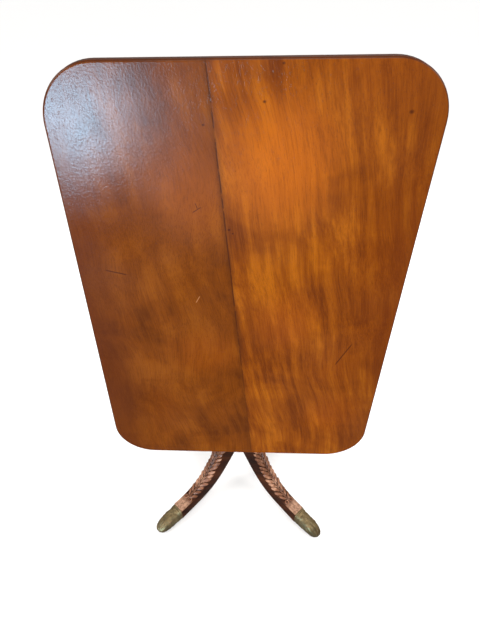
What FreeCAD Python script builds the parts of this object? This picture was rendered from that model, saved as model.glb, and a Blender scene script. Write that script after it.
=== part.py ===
"""Tilt-top table with a rectangular two-board top on a turned column and four sabre legs.

Frame: +Z up, millimetres, origin on the floor under the column's axis. The front is -Y. The top
is modelled tipped upright, with its polished face to the front. It turns back to level about two
pivot pins that stand out of the sides of the block on the column.
"""
import FreeCAD, Part
import math
import os
import Sketcher
from FreeCAD import Placement, Rotation, Vector

doc = FreeCAD.newDocument("tilt_top_table")

# ---------------------------------------------------------------- driving dimensions (mm, degrees)
size = doc.addObject("Spreadsheet::Sheet", "size")
DIMENSIONS = (
    ("level_height", 710),         # floor to the face of the top when it is level
    ("top_length", 1000),
    ("top_width", 677),
    ("top_thickness", 22),
    ("top_corner_radius", 100),
    ("face_edge_radius", 4),
    ("under_edge_radius", 3),
    ("seam_upper_x", -58),         # the glued seam leans: its place at the upper edge
    ("seam_lower_x", 37),          # and at the lower edge
    ("block_width", 210),
    ("block_depth", 210),
    ("block_height", 48),
    ("pivot_depth", 22),           # underside of the top to the pivot's axis
    ("pivot_radius", 9),
    ("pivot_grip", 45),            # length of a pivot pin inside the block
    ("pivot_clearance", 0.06),
    ("stop_gap", 0.3),             # between the block and the underside of the top
    ("side_gap", 1),               # between the block and each bearer
    ("fit_gap", 0.05),             # round glued and screwed joints
    ("slide_gap", 0.3),            # around the catch's bolt
    ("bearer_width", 35),
    ("bearer_depth", 42),
    ("bearer_tip_depth", 18),
    ("bearer_land", 170),          # length of the bearer's deep middle
    ("bearer_end_inset", 95),      # end of the top to the end of a bearer
    ("bearer_screw_inset", 25),
    ("column_foot", 140),          # floor to the underside of the column
    ("drum_radius", 46),
    ("drum_height", 118),
    ("bead_radius", 5),
    ("neck_radius", 25),
    ("vase_radius", 41),
    ("vase_height", 96),
    ("shaft_radius", 20),
    ("collar_radius", 36),
    ("collar_height", 22),
    ("tenon_radius", 22),
    ("wedge_width", 4),
    ("wedge_depth", 32),
    ("leg_width", 36),
    ("leg_seat_radius", 42),       # column's axis to the flats that the legs stand against
    ("leg_seat_height", 105),      # height of those flats
    ("heel_radius", 30),           # column's axis to the heel under the column
    ("heel_flat", 45),             # straight stretch of the leg's underside at the heel
    ("heel_slope", 48.6),
    ("tongue_depth", 20),
    ("tongue_root", 14),
    ("tongue_tip", 20),
    ("leg_reach", 338),            # column's axis to the tip of a toe
    ("cap_length", 80),
    ("cap_width", 42),
    ("leg_crest_slope", 60),       # downward slope of the leg's upper edge at the column
    ("ankle_top_slope", 5),        # and at the cap
    ("ankle_under_slope", 12),     # downward slope of its lower edge at the cap
    ("ankle_top", 45),             # leg's upper edge where the cap begins
    ("ankle_under", 7),            # leg's lower edge there
    ("cap_lip", 2),                # how far the cap stands above the leg at its mouth
    ("cap_wall", 4),
    ("cap_socket", 46),
    ("cap_heel", 12),              # from the cap's mouth to where it meets the floor
    ("cap_screw_inset", 22),
    ("stub_step_top", 10),         # how far the stub inside the cap lies below the ankle's top
    ("stub_step_under", 1),
    ("toe_height", 22),            # height of the toe's tip
    ("toe_round", 16),
    ("toe_run", 14),               # length of the toe's steep end
    ("toe_drop", 9),               # ankle's top to the start of that end
    ("brace_thickness", 3),
    ("brace_width", 16),
    ("brace_disc_radius", 27),
    ("brace_arm", 38),
    ("brace_lap", 14),             # how far an arm runs into the disc
    ("brace_screw_inset", 12),
    ("wood_screw_radius", 2),
    ("wood_screw_head", 4),
    ("wood_screw_head_height", 2.4),
    ("wood_screw_length", 28),
    ("wood_screw_bite", 12),
    ("pin_screw_radius", 1.5),
    ("pin_screw_head", 3),
    ("pin_screw_head_height", 1.6),
    ("pin_screw_length", 13),
    ("catch_width", 34),
    ("catch_height", 16),
    ("catch_length", 48),
    ("catch_flange", 68),
    ("catch_screw_side", 4.5),     # flange's side to a screw
    ("catch_screw_end", 8),        # flange's end to a screw
    ("catch_plate", 2),
    ("catch_setback", 7),          # block's back face to the catch when level
    ("catch_back_wall", 4),
    ("bolt_width", 14),
    ("bolt_thickness", 6),
    ("bolt_length", 38),
    ("bolt_depth", 5),             # underside of the top to the bolt
    ("bolt_bevel", 4),
    ("bolt_throw", 6.5),           # how far the bolt enters the block
    ("bolt_travel", 7),
    ("knob_stem_radius", 3),
    ("knob_radius", 7),
    ("knob_height", 8),
    ("knob_standoff", 3),
    ("knob_round", 2),
    ("knob_setback", 9),           # bolt's end to the knob's axis
    ("spring_radius", 2.5),
    ("spring_wire", 0.4),
    ("spring_turns", 7),
    ("keeper_width", 36),
    ("keeper_height", 15),
    ("keeper_thickness", 2),
    ("keeper_screw_inset", 5),
    ("hole_spare", 0.5),           # how much deeper a hole is than its screw
)
for row, (alias, amount) in enumerate(DIMENSIONS, start=1):
    size.set(f"A{row}", alias)
    size.set(f"B{row}", str(amount))
    size.setAlias(f"B{row}", alias)
doc.recompute()


def number(formula):
    """Value of a formula on the sheet's cells."""
    return float(size.evalExpression(str(formula)))


# Derived places, written as formulas so that everything follows the sheet.
UNDERSIDE_Y = "(-size.block_depth / 2 - size.stop_gap)"
FACE_Y = f"({UNDERSIDE_Y} - size.top_thickness)"
BLOCK_TOP = "(size.level_height - size.top_thickness - size.stop_gap)"
BLOCK_FOOT = f"({BLOCK_TOP} - size.block_height)"
PIVOT_Y = f"({UNDERSIDE_Y} + size.pivot_depth)"
PIVOT_Z = "(size.level_height - size.top_thickness - size.pivot_depth)"
TOP_MID_Z = f"({PIVOT_Z} - {PIVOT_Y})"      # over the column's axis when the top is level
TOP_HIGH_Z = f"({TOP_MID_Z} + size.top_length / 2)"
TOP_LOW_Z = f"({TOP_MID_Z} - size.top_length / 2)"
BEARER_INNER_X = "(size.block_width / 2 + size.side_gap)"
BEARER_OUTER_X = f"({BEARER_INNER_X} + size.bearer_width)"
CATCH_Z = f"({TOP_MID_Z} + size.block_depth / 2 + size.catch_setback)"
BOLT_NOSE_Z = f"({TOP_MID_Z} + size.block_depth / 2 - size.bolt_throw)"
BOLT_MID_LEVEL_Z = "(size.level_height - size.top_thickness - size.bolt_depth - size.bolt_thickness / 2)"
CAP_MOUTH = "(size.leg_reach - size.cap_length)"

nodes = []


def body(label, turn_z=0.0):
    """An empty PartDesign body, turned about the column's axis."""
    piece = doc.addObject("PartDesign::Body", label)
    piece.Label = label
    piece.Placement = Placement(Vector(0, 0, 0), Rotation(Vector(0, 0, 1), turn_z))
    nodes.append(piece)
    return piece


def sketch_on(piece, role, name, shift="0", place=None):
    """A sketch on one of the body's own planes, shifted along its normal or set at a placement."""
    sketch = piece.newObject("Sketcher::SketchObject", f"{piece.Label}_{name}")
    plane = [feature for feature in piece.Origin.OriginFeatures if feature.Role == role][0]
    sketch.AttachmentSupport = [(plane, "")]
    sketch.MapMode = "FlatFace"
    if place is None:
        sketch.setExpression("AttachmentOffset.Base.z", shift)
    else:
        sketch.AttachmentOffset = place
    return sketch


def pin_point(sketch, geometry, end, across, up):
    """Hold one point of a sketch at two formulas."""
    for kind, formula, axis in (("DistanceX", across, -2), ("DistanceY", up, -1)):
        if str(formula) == "0":
            sketch.addConstraint(Sketcher.Constraint("PointOnObject", geometry, end, axis))
        else:
            amount = number(formula)
            held = sketch.addConstraint(Sketcher.Constraint(kind, -1, 1, geometry, end, amount))
            sketch.setExpression(f"Constraints[{held}]", str(formula))


def outline(sketch, corners):
    """A closed loop, counter-clockwise, through (across, up[, bend]) formulas.

    A bend turns the side that leaves the corner into an arc of that radius: it bulges outwards,
    or inwards when the formula starts with a minus sign.
    """
    points = [Vector(number(corner[0]), number(corner[1]), 0) for corner in corners]
    starts, ends = [], []
    for index, corner in enumerate(corners):
        here, there = points[index], points[(index + 1) % len(points)]
        if len(corner) == 2:
            geometry = sketch.addGeometry(Part.LineSegment(here, there))
            starts.append((geometry, 1))
            ends.append((geometry, 2))
            continue
        hollow = corner[2].startswith("-")
        radius_formula = corner[2].lstrip("-")
        radius = number(radius_formula)
        chord = there - here
        inward = Vector(-chord.y, chord.x, 0).normalize() * (-1 if hollow else 1)
        centre = (here + there) * 0.5 + inward * math.sqrt(max(radius**2 - chord.Length**2 / 4, 0))
        first, last = (there, here) if hollow else (here, there)
        angles = [math.atan2(point.y - centre.y, point.x - centre.x) for point in (first, last)]
        arc = Part.ArcOfCircle(Part.Circle(centre, Vector(0, 0, 1), radius), *angles)
        geometry = sketch.addGeometry(arc)
        starts.append((geometry, 2 if hollow else 1))
        ends.append((geometry, 1 if hollow else 2))
        held = sketch.addConstraint(Sketcher.Constraint("Radius", geometry, radius))
        sketch.setExpression(f"Constraints[{held}]", radius_formula)
    for index, corner in enumerate(corners):
        following = starts[(index + 1) % len(corners)]
        sketch.addConstraint(Sketcher.Constraint("Coincident", *ends[index], *following))
        pin_point(sketch, *starts[index], corner[0], corner[1])
    return sketch


def box_outline(sketch, low_across, high_across, low_up, high_up):
    """A rectangle between formulas."""
    corners = ((low_across, low_up), (high_across, low_up), (high_across, high_up), (low_across, high_up))
    return outline(sketch, corners)


def pad(piece, sketch, length, midplane=False, reverse=False):
    """Extrude a sketch into material."""
    feature = piece.newObject("PartDesign::Pad", f"{sketch.Label}_pad")
    feature.Profile = sketch
    feature.setExpression("Length", length)
    feature.Midplane = midplane
    feature.Reversed = reverse
    doc.recompute()
    return feature


def pocket(piece, sketch, length, midplane=False, reverse=False):
    """Cut a sketch out of the body, and make sure that it really removes something."""
    before = piece.Shape.Volume
    feature = piece.newObject("PartDesign::Pocket", f"{sketch.Label}_cut")
    feature.Profile = sketch
    feature.setExpression("Length", length)
    feature.Midplane = midplane
    feature.Reversed = reverse
    doc.recompute()
    if not piece.Shape.Volume < before - 1e-3:
        raise RuntimeError(f"{feature.Label} cuts nothing")
    return feature


def turned(piece, corners, name="profile"):
    """Revolve a profile of (radius, height[, bend]) about the body's upright axis."""
    sketch = outline(sketch_on(piece, "XZ_Plane", name), corners)
    feature = piece.newObject("PartDesign::Revolution", f"{sketch.Label}_turn")
    feature.Profile = sketch
    feature.ReferenceAxis = (sketch, ["V_Axis"])
    feature.Angle = 360
    doc.recompute()
    return feature


def drill(piece, name, mouth, outward, radius, depth):
    """A round blind hole from its mouth, against the outward direction."""
    place = Placement(mouth, Rotation(Vector(0, 0, 1), outward))
    sketch = sketch_on(piece, "XY_Plane", name, place=place)
    sketch.addGeometry(Part.Circle(Vector(0, 0, 0), Vector(0, 0, 1), number(radius)))
    sketch.addConstraint(Sketcher.Constraint("Coincident", 0, 3, -1, 1))
    held = sketch.addConstraint(Sketcher.Constraint("Radius", 0, number(radius)))
    sketch.setExpression(f"Constraints[{held}]", radius)
    return pocket(piece, sketch, depth)


def drill_for_screw(piece, name, kind, head, outward, head_room, depth):
    """A screw's hole: a wide mouth for the head, and a narrow hole on below the head's top."""
    if head_room:
        mouth = head + outward * number(head_room)
        wide = f"size.{kind}_head + size.fit_gap"
        drill(piece, f"{name}_seat", mouth, outward, wide, f"{head_room} + size.{kind}_head_height")
    narrow = f"size.{kind}_radius + size.fit_gap"
    drill(piece, f"{name}_hole", head, outward, narrow, depth)


def solid_node(label, shape, place=Vector(0, 0, 0)):
    """A node whose shape is built directly from the sheet's values, then set at a place."""
    piece = doc.addObject("Part::Feature", label)
    piece.Label = label
    piece.Shape = shape
    piece.Placement = Placement(place, Rotation())
    nodes.append(piece)
    return piece


def screws(label, kind, places):
    """One node of equal screws, each with its head's top at a point, facing outward."""
    head, radius = number(f"size.{kind}_head"), number(f"size.{kind}_radius")
    head_height, length = number(f"size.{kind}_head_height"), number(f"size.{kind}_length")
    made = []
    for point, outward in places:
        cap = Part.makeCylinder(head, head_height, point, -outward)
        shank = Part.makeCylinder(radius, length, point, -outward)
        made.append(cap.fuse(shank).removeSplitter())
    return solid_node(label, Part.makeCompound(made))


X, Y, Z = Vector(1, 0, 0), Vector(0, 1, 0), Vector(0, 0, 1)

# ---------------------------------------------------------------- the top: two boards, glued
WOOD_HOLE_DEPTH = "size.wood_screw_length + size.hole_spare"
PIN_HOLE_DEPTH = "size.pin_screw_length + size.hole_spare"
bearer_x = number(f"({BEARER_INNER_X} + {BEARER_OUTER_X}) / 2")
screw_seat_y = number(f"{UNDERSIDE_Y} + size.wood_screw_length - size.wood_screw_bite")
inset = number("size.top_length / 2 - size.bearer_end_inset - size.bearer_screw_inset")
land = number("size.bearer_land / 2 - size.bearer_screw_inset")
bearer_screw_heights = [number(PIVOT_Z) - land, number(PIVOT_Z) + land,
                        number(TOP_MID_Z) - inset, number(TOP_MID_Z) + inset]
catch_screw_x = number("size.catch_flange / 2 - size.catch_screw_side")
catch_screw_y = number(f"{UNDERSIDE_Y} + size.catch_plate")
catch_screw_heights = [number(f"{CATCH_Z} + size.catch_screw_end"),
                       number(f"{CATCH_Z} + size.catch_length - size.catch_screw_end")]


def round_board_edges(piece, plane_y, radius, name):
    """Round the board's outer arris on one face, leaving the seam sharp."""
    base = piece.Tip
    seam_x = sorted((number("size.seam_upper_x"), number("size.seam_lower_x")))
    chosen = []
    for index, edge in enumerate(base.Shape.Edges, start=1):
        on_plane = all(abs(vertex.Point.y - plane_y) < 1e-4 for vertex in edge.Vertexes)
        middle = edge.valueAt((edge.FirstParameter + edge.LastParameter) / 2)
        is_seam = edge.Length > number("size.top_length") * 0.99 and seam_x[0] < middle.x < seam_x[1]
        if on_plane and abs(middle.y - plane_y) < 1e-4 and not is_seam:
            chosen.append(f"Edge{index}")
    feature = piece.newObject("PartDesign::Fillet", f"{piece.Label}_{name}")
    feature.Base = (base, chosen)
    feature.setExpression("Radius", radius)
    doc.recompute()
    return feature


def top_board(side, sign):
    """One of the two boards: sign -1 lies at -X of the seam, +1 at +X."""
    piece = body(f"top_board_{side}")
    edge = f"{sign} * size.top_width / 2"
    turn = f"{sign} * (size.top_width / 2 - size.top_corner_radius)"
    low_turn = f"{TOP_LOW_Z} + size.top_corner_radius"
    high_turn = f"{TOP_HIGH_Z} - size.top_corner_radius"
    bend = "size.top_corner_radius"
    if sign > 0:
        corners = (("size.seam_lower_x", TOP_LOW_Z), (turn, TOP_LOW_Z, bend), (edge, low_turn),
                   (edge, high_turn, bend), (turn, TOP_HIGH_Z), ("size.seam_upper_x", TOP_HIGH_Z))
    else:
        corners = (("size.seam_upper_x", TOP_HIGH_Z), (turn, TOP_HIGH_Z, bend), (edge, high_turn),
                   (edge, low_turn, bend), (turn, TOP_LOW_Z), ("size.seam_lower_x", TOP_LOW_Z))
    pad(piece, outline(sketch_on(piece, "XZ_Plane", "outline", f"-{UNDERSIDE_Y}"), corners),
        "size.top_thickness")
    round_board_edges(piece, number(FACE_Y), "size.face_edge_radius", "face_edge")
    round_board_edges(piece, number(UNDERSIDE_Y), "size.under_edge_radius", "under_edge")
    for count, height in enumerate(bearer_screw_heights):
        drill(piece, f"bearer_hole_{count}", Vector(sign * bearer_x, number(UNDERSIDE_Y), height), Y,
              "size.wood_screw_radius + size.fit_gap", "size.wood_screw_bite + size.hole_spare")
    for count, height in enumerate(catch_screw_heights):
        drill(piece, f"catch_hole_{count}", Vector(sign * catch_screw_x, number(UNDERSIDE_Y), height), Y,
              "size.pin_screw_radius + size.fit_gap", "size.pin_screw_length - size.catch_plate + size.hole_spare")


top_board("left", -1)
top_board("right", 1)


# ---------------------------------------------------------------- the bearers, screwed under the top
def bearer(side, sign):
    """A rail along the top, deep at the pivot and thin at its ends."""
    piece = body(f"bearer_{side}")
    low, high = f"({TOP_LOW_Z} + size.bearer_end_inset)", f"({TOP_HIGH_Z} - size.bearer_end_inset)"
    tip = f"{UNDERSIDE_Y} + size.bearer_tip_depth"
    deep = f"{UNDERSIDE_Y} + size.bearer_depth"
    corners = ((UNDERSIDE_Y, low), (tip, low), (deep, f"{PIVOT_Z} - size.bearer_land / 2"),
               (deep, f"{PIVOT_Z} + size.bearer_land / 2"), (tip, high), (UNDERSIDE_Y, high))
    shift = BEARER_INNER_X if sign > 0 else f"-{BEARER_OUTER_X}"
    pad(piece, outline(sketch_on(piece, "YZ_Plane", "side", shift), corners), "size.bearer_width")
    mouth = Vector(sign * number(BEARER_OUTER_X), number(PIVOT_Y), number(PIVOT_Z))
    drill(piece, "pivot_hole", mouth, X * sign, "size.pivot_radius + size.pivot_clearance",
          "size.bearer_width")
    for count, height in enumerate(bearer_screw_heights):
        drill_for_screw(piece, f"screw_{count}", "wood_screw", Vector(sign * bearer_x, screw_seat_y, height),
                        Y, "size.bearer_depth", WOOD_HOLE_DEPTH)


bearer("left", -1)
bearer("right", 1)
screws("bearer_screws", "wood_screw",
       [(Vector(sign * bearer_x, screw_seat_y, height), Y) for sign in (-1, 1) for height in bearer_screw_heights])

# ---------------------------------------------------------------- the catch on the underside
BOLT_NEAR_Y = f"({UNDERSIDE_Y} + size.bolt_depth)"
BOLT_FAR_Y = f"({BOLT_NEAR_Y} + size.bolt_thickness)"
CATCH_END_Z = f"({CATCH_Z} + size.catch_length)"
SPRING_ROOM_END_Z = f"({CATCH_END_Z} - size.catch_back_wall)"
BOLT_END_Z = f"({BOLT_NOSE_Z} + size.bolt_length)"
KNOB_Z = f"({BOLT_END_Z} - size.knob_setback)"

case = body("catch_case")
pad(case, box_outline(sketch_on(case, "XZ_Plane", "flange", f"-{UNDERSIDE_Y}"),
                      "-size.catch_flange / 2", "size.catch_flange / 2", CATCH_Z, CATCH_END_Z),
    "size.catch_plate", reverse=True)
pad(case, box_outline(sketch_on(case, "XZ_Plane", "box", f"-{UNDERSIDE_Y}"),
                      "-size.catch_width / 2", "size.catch_width / 2", CATCH_Z, CATCH_END_Z),
    "size.catch_height", reverse=True)
pocket(case, box_outline(sketch_on(case, "YZ_Plane", "bolt_room"),
                         f"{BOLT_NEAR_Y} - size.slide_gap", f"{BOLT_FAR_Y} + size.slide_gap",
                         f"{CATCH_Z} - 1", SPRING_ROOM_END_Z),
       "size.bolt_width + 2 * size.slide_gap", midplane=True)
pocket(case, box_outline(sketch_on(case, "XZ_Plane", "knob_slot", f"-({UNDERSIDE_Y} + size.catch_height)"),
                         "-size.knob_stem_radius - size.slide_gap", "size.knob_stem_radius + size.slide_gap",
                         f"{KNOB_Z} - size.knob_stem_radius - size.slide_gap",
                         f"{KNOB_Z} + size.bolt_travel + size.knob_stem_radius + size.slide_gap"),
       "size.catch_height - size.bolt_depth - size.bolt_thickness", reverse=True)
catch_screw_places = [(Vector(sign * catch_screw_x, catch_screw_y, height), Y)
                      for sign in (-1, 1) for height in catch_screw_heights]
for count, (place, outward) in enumerate(catch_screw_places):
    drill(case, f"screw_{count}_seat", place, outward, "size.pin_screw_head + size.fit_gap",
          "size.pin_screw_head_height")
    drill(case, f"screw_{count}_hole", place, outward, "size.pin_screw_radius + size.fit_gap",
          "size.catch_plate")
screws("catch_screws", "pin_screw", catch_screw_places)

bolt = body("catch_bolt")
pad(bolt, outline(sketch_on(bolt, "YZ_Plane", "side"),
                  ((BOLT_NEAR_Y, BOLT_NOSE_Z), (f"{BOLT_FAR_Y} - size.bolt_bevel", BOLT_NOSE_Z),
                   (BOLT_FAR_Y, f"{BOLT_NOSE_Z} + size.bolt_bevel"), (BOLT_FAR_Y, BOLT_END_Z),
                   (BOLT_NEAR_Y, BOLT_END_Z))),
    "size.bolt_width", midplane=True)

knob = body("catch_knob")
STEM_LENGTH = "(size.catch_height - size.bolt_depth - size.bolt_thickness + size.knob_standoff)"
STEM_R, KNOB_R = "size.knob_stem_radius", "size.knob_radius"
turned(knob, (("0", "0"), (STEM_R, "0"), (STEM_R, STEM_LENGTH), (KNOB_R, STEM_LENGTH),
              (KNOB_R, f"{STEM_LENGTH} + size.knob_height - size.knob_round", "size.knob_round"),
              (f"{KNOB_R} - size.knob_round", f"{STEM_LENGTH} + size.knob_height"),
              ("0", f"{STEM_LENGTH} + size.knob_height")))
knob.Placement = Placement(Vector(0, number(BOLT_FAR_Y), number(KNOB_Z)), Rotation(Z, Y))

spring_low, spring_high = number(BOLT_END_Z), number(SPRING_ROOM_END_Z)
wire = number("size.spring_wire")
SPRING_END_GAP = 0.05
spring_rise = spring_high - spring_low - 2 * wire - 2 * SPRING_END_GAP
helix = Part.makeHelix(spring_rise / number("size.spring_turns"), spring_rise, number("size.spring_radius"))
wire_section = Part.Wire([Part.makeCircle(wire, Vector(number("size.spring_radius"), 0, 0), Y)])
coil = Part.Wire(helix.Edges).makePipeShell([wire_section], True, True)
spring_place = Vector(0, number(f"({BOLT_NEAR_Y} + {BOLT_FAR_Y}) / 2"), spring_low + wire + SPRING_END_GAP)
solid_node("catch_spring", coil, spring_place)

# ---------------------------------------------------------------- the block on the column
block = body("tilt_block")
BLOCK_FRONT_Y, BLOCK_BACK_Y = "(-size.block_depth / 2)", "(size.block_depth / 2)"
NOSE_RADIUS = "size.pivot_depth - size.stop_gap"
pad(block, outline(sketch_on(block, "YZ_Plane", "side"),
                   ((BLOCK_FRONT_Y, BLOCK_FOOT), (BLOCK_BACK_Y, BLOCK_FOOT), (BLOCK_BACK_Y, BLOCK_TOP),
                    (f"{BLOCK_FRONT_Y} + {NOSE_RADIUS}", BLOCK_TOP, NOSE_RADIUS),
                    (BLOCK_FRONT_Y, f"{BLOCK_TOP} - ({NOSE_RADIUS})"))),
    "size.block_width", midplane=True)
drill(block, "mortise", Vector(0, 0, number(BLOCK_TOP)), Z, "size.tenon_radius + size.fit_gap",
      "size.block_height")
PIN_CHAMFER = 1
for side, sign in (("left", -1), ("right", 1)):
    mouth = Vector(sign * number("size.block_width") / 2, number(PIVOT_Y), number(PIVOT_Z))
    drill(block, f"pivot_{side}", mouth, X * sign, "size.pivot_radius + size.fit_gap", "size.pivot_grip")
    pin = body(f"pivot_pin_{side}")
    start = number("size.block_width / 2 - size.pivot_grip")
    end = number(BEARER_OUTER_X) - PIN_CHAMFER
    turned(pin, (("0", "0"), ("size.pivot_radius", "0"), ("size.pivot_radius", f"{end - start - PIN_CHAMFER}"),
                 (f"size.pivot_radius - {PIN_CHAMFER}", f"{end - start}"), ("0", f"{end - start}")))
    pin.Placement = Placement(Vector(sign * start, number(PIVOT_Y), number(PIVOT_Z)), Rotation(Z, X * sign))

# keeper let into the block's back face, with room behind it for the bolt's nose
KEEPER_TOP = f"({BLOCK_TOP} - 1)"
pocket(block, box_outline(sketch_on(block, "XZ_Plane", "keeper_seat", f"-{BLOCK_BACK_Y}"),
                          "-size.keeper_width / 2", "size.keeper_width / 2",
                          f"{KEEPER_TOP} - size.keeper_height", KEEPER_TOP),
       "size.keeper_thickness", reverse=True)
BOLT_SLOT = ("-size.bolt_width / 2 - size.slide_gap", "size.bolt_width / 2 + size.slide_gap",
             f"{BOLT_MID_LEVEL_Z} - size.bolt_thickness / 2 - size.slide_gap",
             f"{BOLT_MID_LEVEL_Z} + size.bolt_thickness / 2 + size.slide_gap")
pocket(block, box_outline(sketch_on(block, "XZ_Plane", "bolt_pocket", f"-{BLOCK_BACK_Y}"), *BOLT_SLOT),
       "size.bolt_throw + 2", reverse=True)
keeper = body("catch_keeper")
pad(keeper, box_outline(sketch_on(keeper, "XZ_Plane", "plate", f"-{BLOCK_BACK_Y}"),
                        "-size.keeper_width / 2", "size.keeper_width / 2",
                        f"{KEEPER_TOP} - size.keeper_height", KEEPER_TOP),
    "size.keeper_thickness")
pocket(keeper, box_outline(sketch_on(keeper, "XZ_Plane", "slot", f"-{BLOCK_BACK_Y}"), *BOLT_SLOT),
       "size.keeper_thickness", reverse=True)
keeper_screw_x = number("size.keeper_width / 2 - size.keeper_screw_inset")
keeper_screw_z = number(f"{KEEPER_TOP} - size.keeper_height / 2")
keeper_screw_places = [(Vector(sign * keeper_screw_x, number(BLOCK_BACK_Y), keeper_screw_z), Y)
                       for sign in (-1, 1)]
for count, (place, outward) in enumerate(keeper_screw_places):
    drill(keeper, f"screw_{count}_seat", place, outward, "size.pin_screw_head + size.fit_gap",
          "size.pin_screw_head_height")
    drill(keeper, f"screw_{count}_hole", place, outward, "size.pin_screw_radius + size.fit_gap",
          "size.keeper_thickness")
    drill(block, f"keeper_screw_{count}", place, outward, "size.pin_screw_radius + size.fit_gap",
          PIN_HOLE_DEPTH)
screws("keeper_screws", "pin_screw", keeper_screw_places)

# ---------------------------------------------------------------- the turned column
column = body("column", 45)
DRUM_TOP = "(size.column_foot + size.drum_height)"
VASE_FOOT = f"({DRUM_TOP} + 4 * size.bead_radius)"
VASE_TOP = f"({VASE_FOOT} + size.vase_height)"
COLLAR_FOOT = f"({BLOCK_FOOT} - size.collar_height)"
BULGE = "(size.vase_radius - size.neck_radius)"
VASE_BEND = f"((size.vase_height / 2)^2 + {BULGE}^2) / (2 * {BULGE})"
BEAD = "size.bead_radius"
BEAD_BEND = f"1.02 * {BEAD}"                # a shade flatter than a half circle
TENON_TOP = f"({BLOCK_TOP} - 0.5)"
turned(column, (
    ("0", "size.column_foot"),
    ("size.drum_radius", "size.column_foot"),
    ("size.drum_radius", f"{DRUM_TOP} - {BEAD}", BEAD),
    (f"size.drum_radius - {BEAD}", DRUM_TOP),
    (f"size.neck_radius + {BEAD}", DRUM_TOP, BEAD_BEND),
    (f"size.neck_radius + {BEAD}", f"{DRUM_TOP} + 2 * {BEAD}"),
    ("size.neck_radius", f"{DRUM_TOP} + 2 * {BEAD}"),
    ("size.neck_radius", VASE_FOOT, VASE_BEND),
    ("size.neck_radius", VASE_TOP, BEAD_BEND),
    ("size.neck_radius", f"{VASE_TOP} + 2 * {BEAD}"),
    ("size.shaft_radius", f"{COLLAR_FOOT} - 5 * {BEAD}"),
    (f"size.shaft_radius + {BEAD}", f"{COLLAR_FOOT} - 5 * {BEAD}", BEAD_BEND),
    (f"size.shaft_radius + {BEAD}", f"{COLLAR_FOOT} - 3 * {BEAD}"),
    ("size.shaft_radius", f"{COLLAR_FOOT} - 3 * {BEAD}"),
    ("size.shaft_radius", COLLAR_FOOT),
    ("size.collar_radius", f"{COLLAR_FOOT} + size.collar_height / 2"),
    ("size.collar_radius", BLOCK_FOOT),
    ("size.tenon_radius", BLOCK_FOOT),
    ("size.tenon_radius", TENON_TOP),
    ("0", TENON_TOP),
))

# flats and dovetail sockets for four legs, cut upwards from the column's foot
LEG_TOP = "(size.column_foot + size.leg_seat_height)"
seat = outline(sketch_on(column, "XY_Plane", "leg_seat", "size.column_foot"), (
    ("size.leg_seat_radius - size.tongue_depth", "-size.tongue_tip / 2"),
    ("size.leg_seat_radius", "-size.tongue_root / 2"),
    ("size.leg_seat_radius", "-size.drum_radius / 2"),
    ("size.drum_radius + 5", "-size.drum_radius / 2"),
    ("size.drum_radius + 5", "size.drum_radius / 2"),
    ("size.leg_seat_radius", "size.drum_radius / 2"),
    ("size.leg_seat_radius", "size.tongue_root / 2"),
    ("size.leg_seat_radius - size.tongue_depth", "size.tongue_tip / 2")))
seat_cut = pocket(column, seat, "size.leg_seat_height", reverse=True)
uncut_volume = column.Shape.Volume
seats = column.newObject("PartDesign::PolarPattern", "leg_seats")
seats.Originals = [seat_cut]
seats.Axis = ([item for item in column.Origin.OriginFeatures if item.Role == "Z_Axis"][0], [""])
seats.Angle = 360
seats.Occurrences = 4
column.Tip = seats
doc.recompute()
if not column.Shape.Volume < uncut_volume - 1:
    raise RuntimeError("the leg seats are not cut")

# the wedge that spreads the column's tenon in the block
WEDGE_FOOT = f"({TENON_TOP} - size.wedge_depth)"
WEDGE = (("-size.wedge_width / 4", WEDGE_FOOT), ("size.wedge_width / 4", WEDGE_FOOT),
         ("size.wedge_width / 2", TENON_TOP), ("-size.wedge_width / 2", TENON_TOP))
pocket(column, outline(sketch_on(column, "XZ_Plane", "wedge_kerf"), WEDGE), "3 * size.tenon_radius",
       midplane=True)
wedge = body("tenon_wedge", 45)
pad(wedge, outline(sketch_on(wedge, "XZ_Plane", "side"), WEDGE), "1.7 * size.tenon_radius", midplane=True)

# ---------------------------------------------------------------- legs and toe caps
slope = math.radians(number("size.heel_slope"))
heel = Vector(number("size.heel_radius"), number("size.column_foot"), 0)
heel_end = heel + Vector(math.cos(slope), -math.sin(slope), 0) * number("size.heel_flat")
ankle_under = Vector(number(CAP_MOUTH), number("size.ankle_under"), 0)
ankle_top = Vector(number(CAP_MOUTH), number("size.ankle_top"), 0)
leg_top = Vector(number("size.leg_seat_radius"), number(LEG_TOP), 0)


def sweep_curve(start, start_slope, start_pull, end, end_slope, end_pull):
    """A curve between two points, leaving and arriving at downward slopes in degrees."""
    span = (end - start).Length
    leave, arrive = math.radians(start_slope), math.radians(end_slope)
    curve = Part.BezierCurve()
    curve.setPoles([start, start + Vector(math.cos(leave), -math.sin(leave), 0) * span * start_pull,
                    end - Vector(math.cos(arrive), -math.sin(arrive), 0) * span * end_pull, end])
    return curve.toBSpline()


STUB_LOW = "(size.ankle_under + size.stub_step_under)"
STUB_HIGH = "(size.ankle_top - size.stub_step_top)"
cap_screw_r = number(f"{CAP_MOUTH} + size.cap_socket - size.cap_screw_inset")
CAP_SCREW_RISE = 0.4
brace_out = Vector(-math.sin(slope), 0, -math.cos(slope))
brace_screw_r = number("size.brace_arm - size.brace_screw_inset")


def brace_screw_point():
    """Middle of an arm's outer face where its screw goes, in a leg's own upright plane."""
    along = Vector(math.cos(slope), 0, -math.sin(slope)) * brace_screw_r
    return Vector(heel.x, 0, heel.y) + along + brace_out * number("size.brace_thickness")


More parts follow.
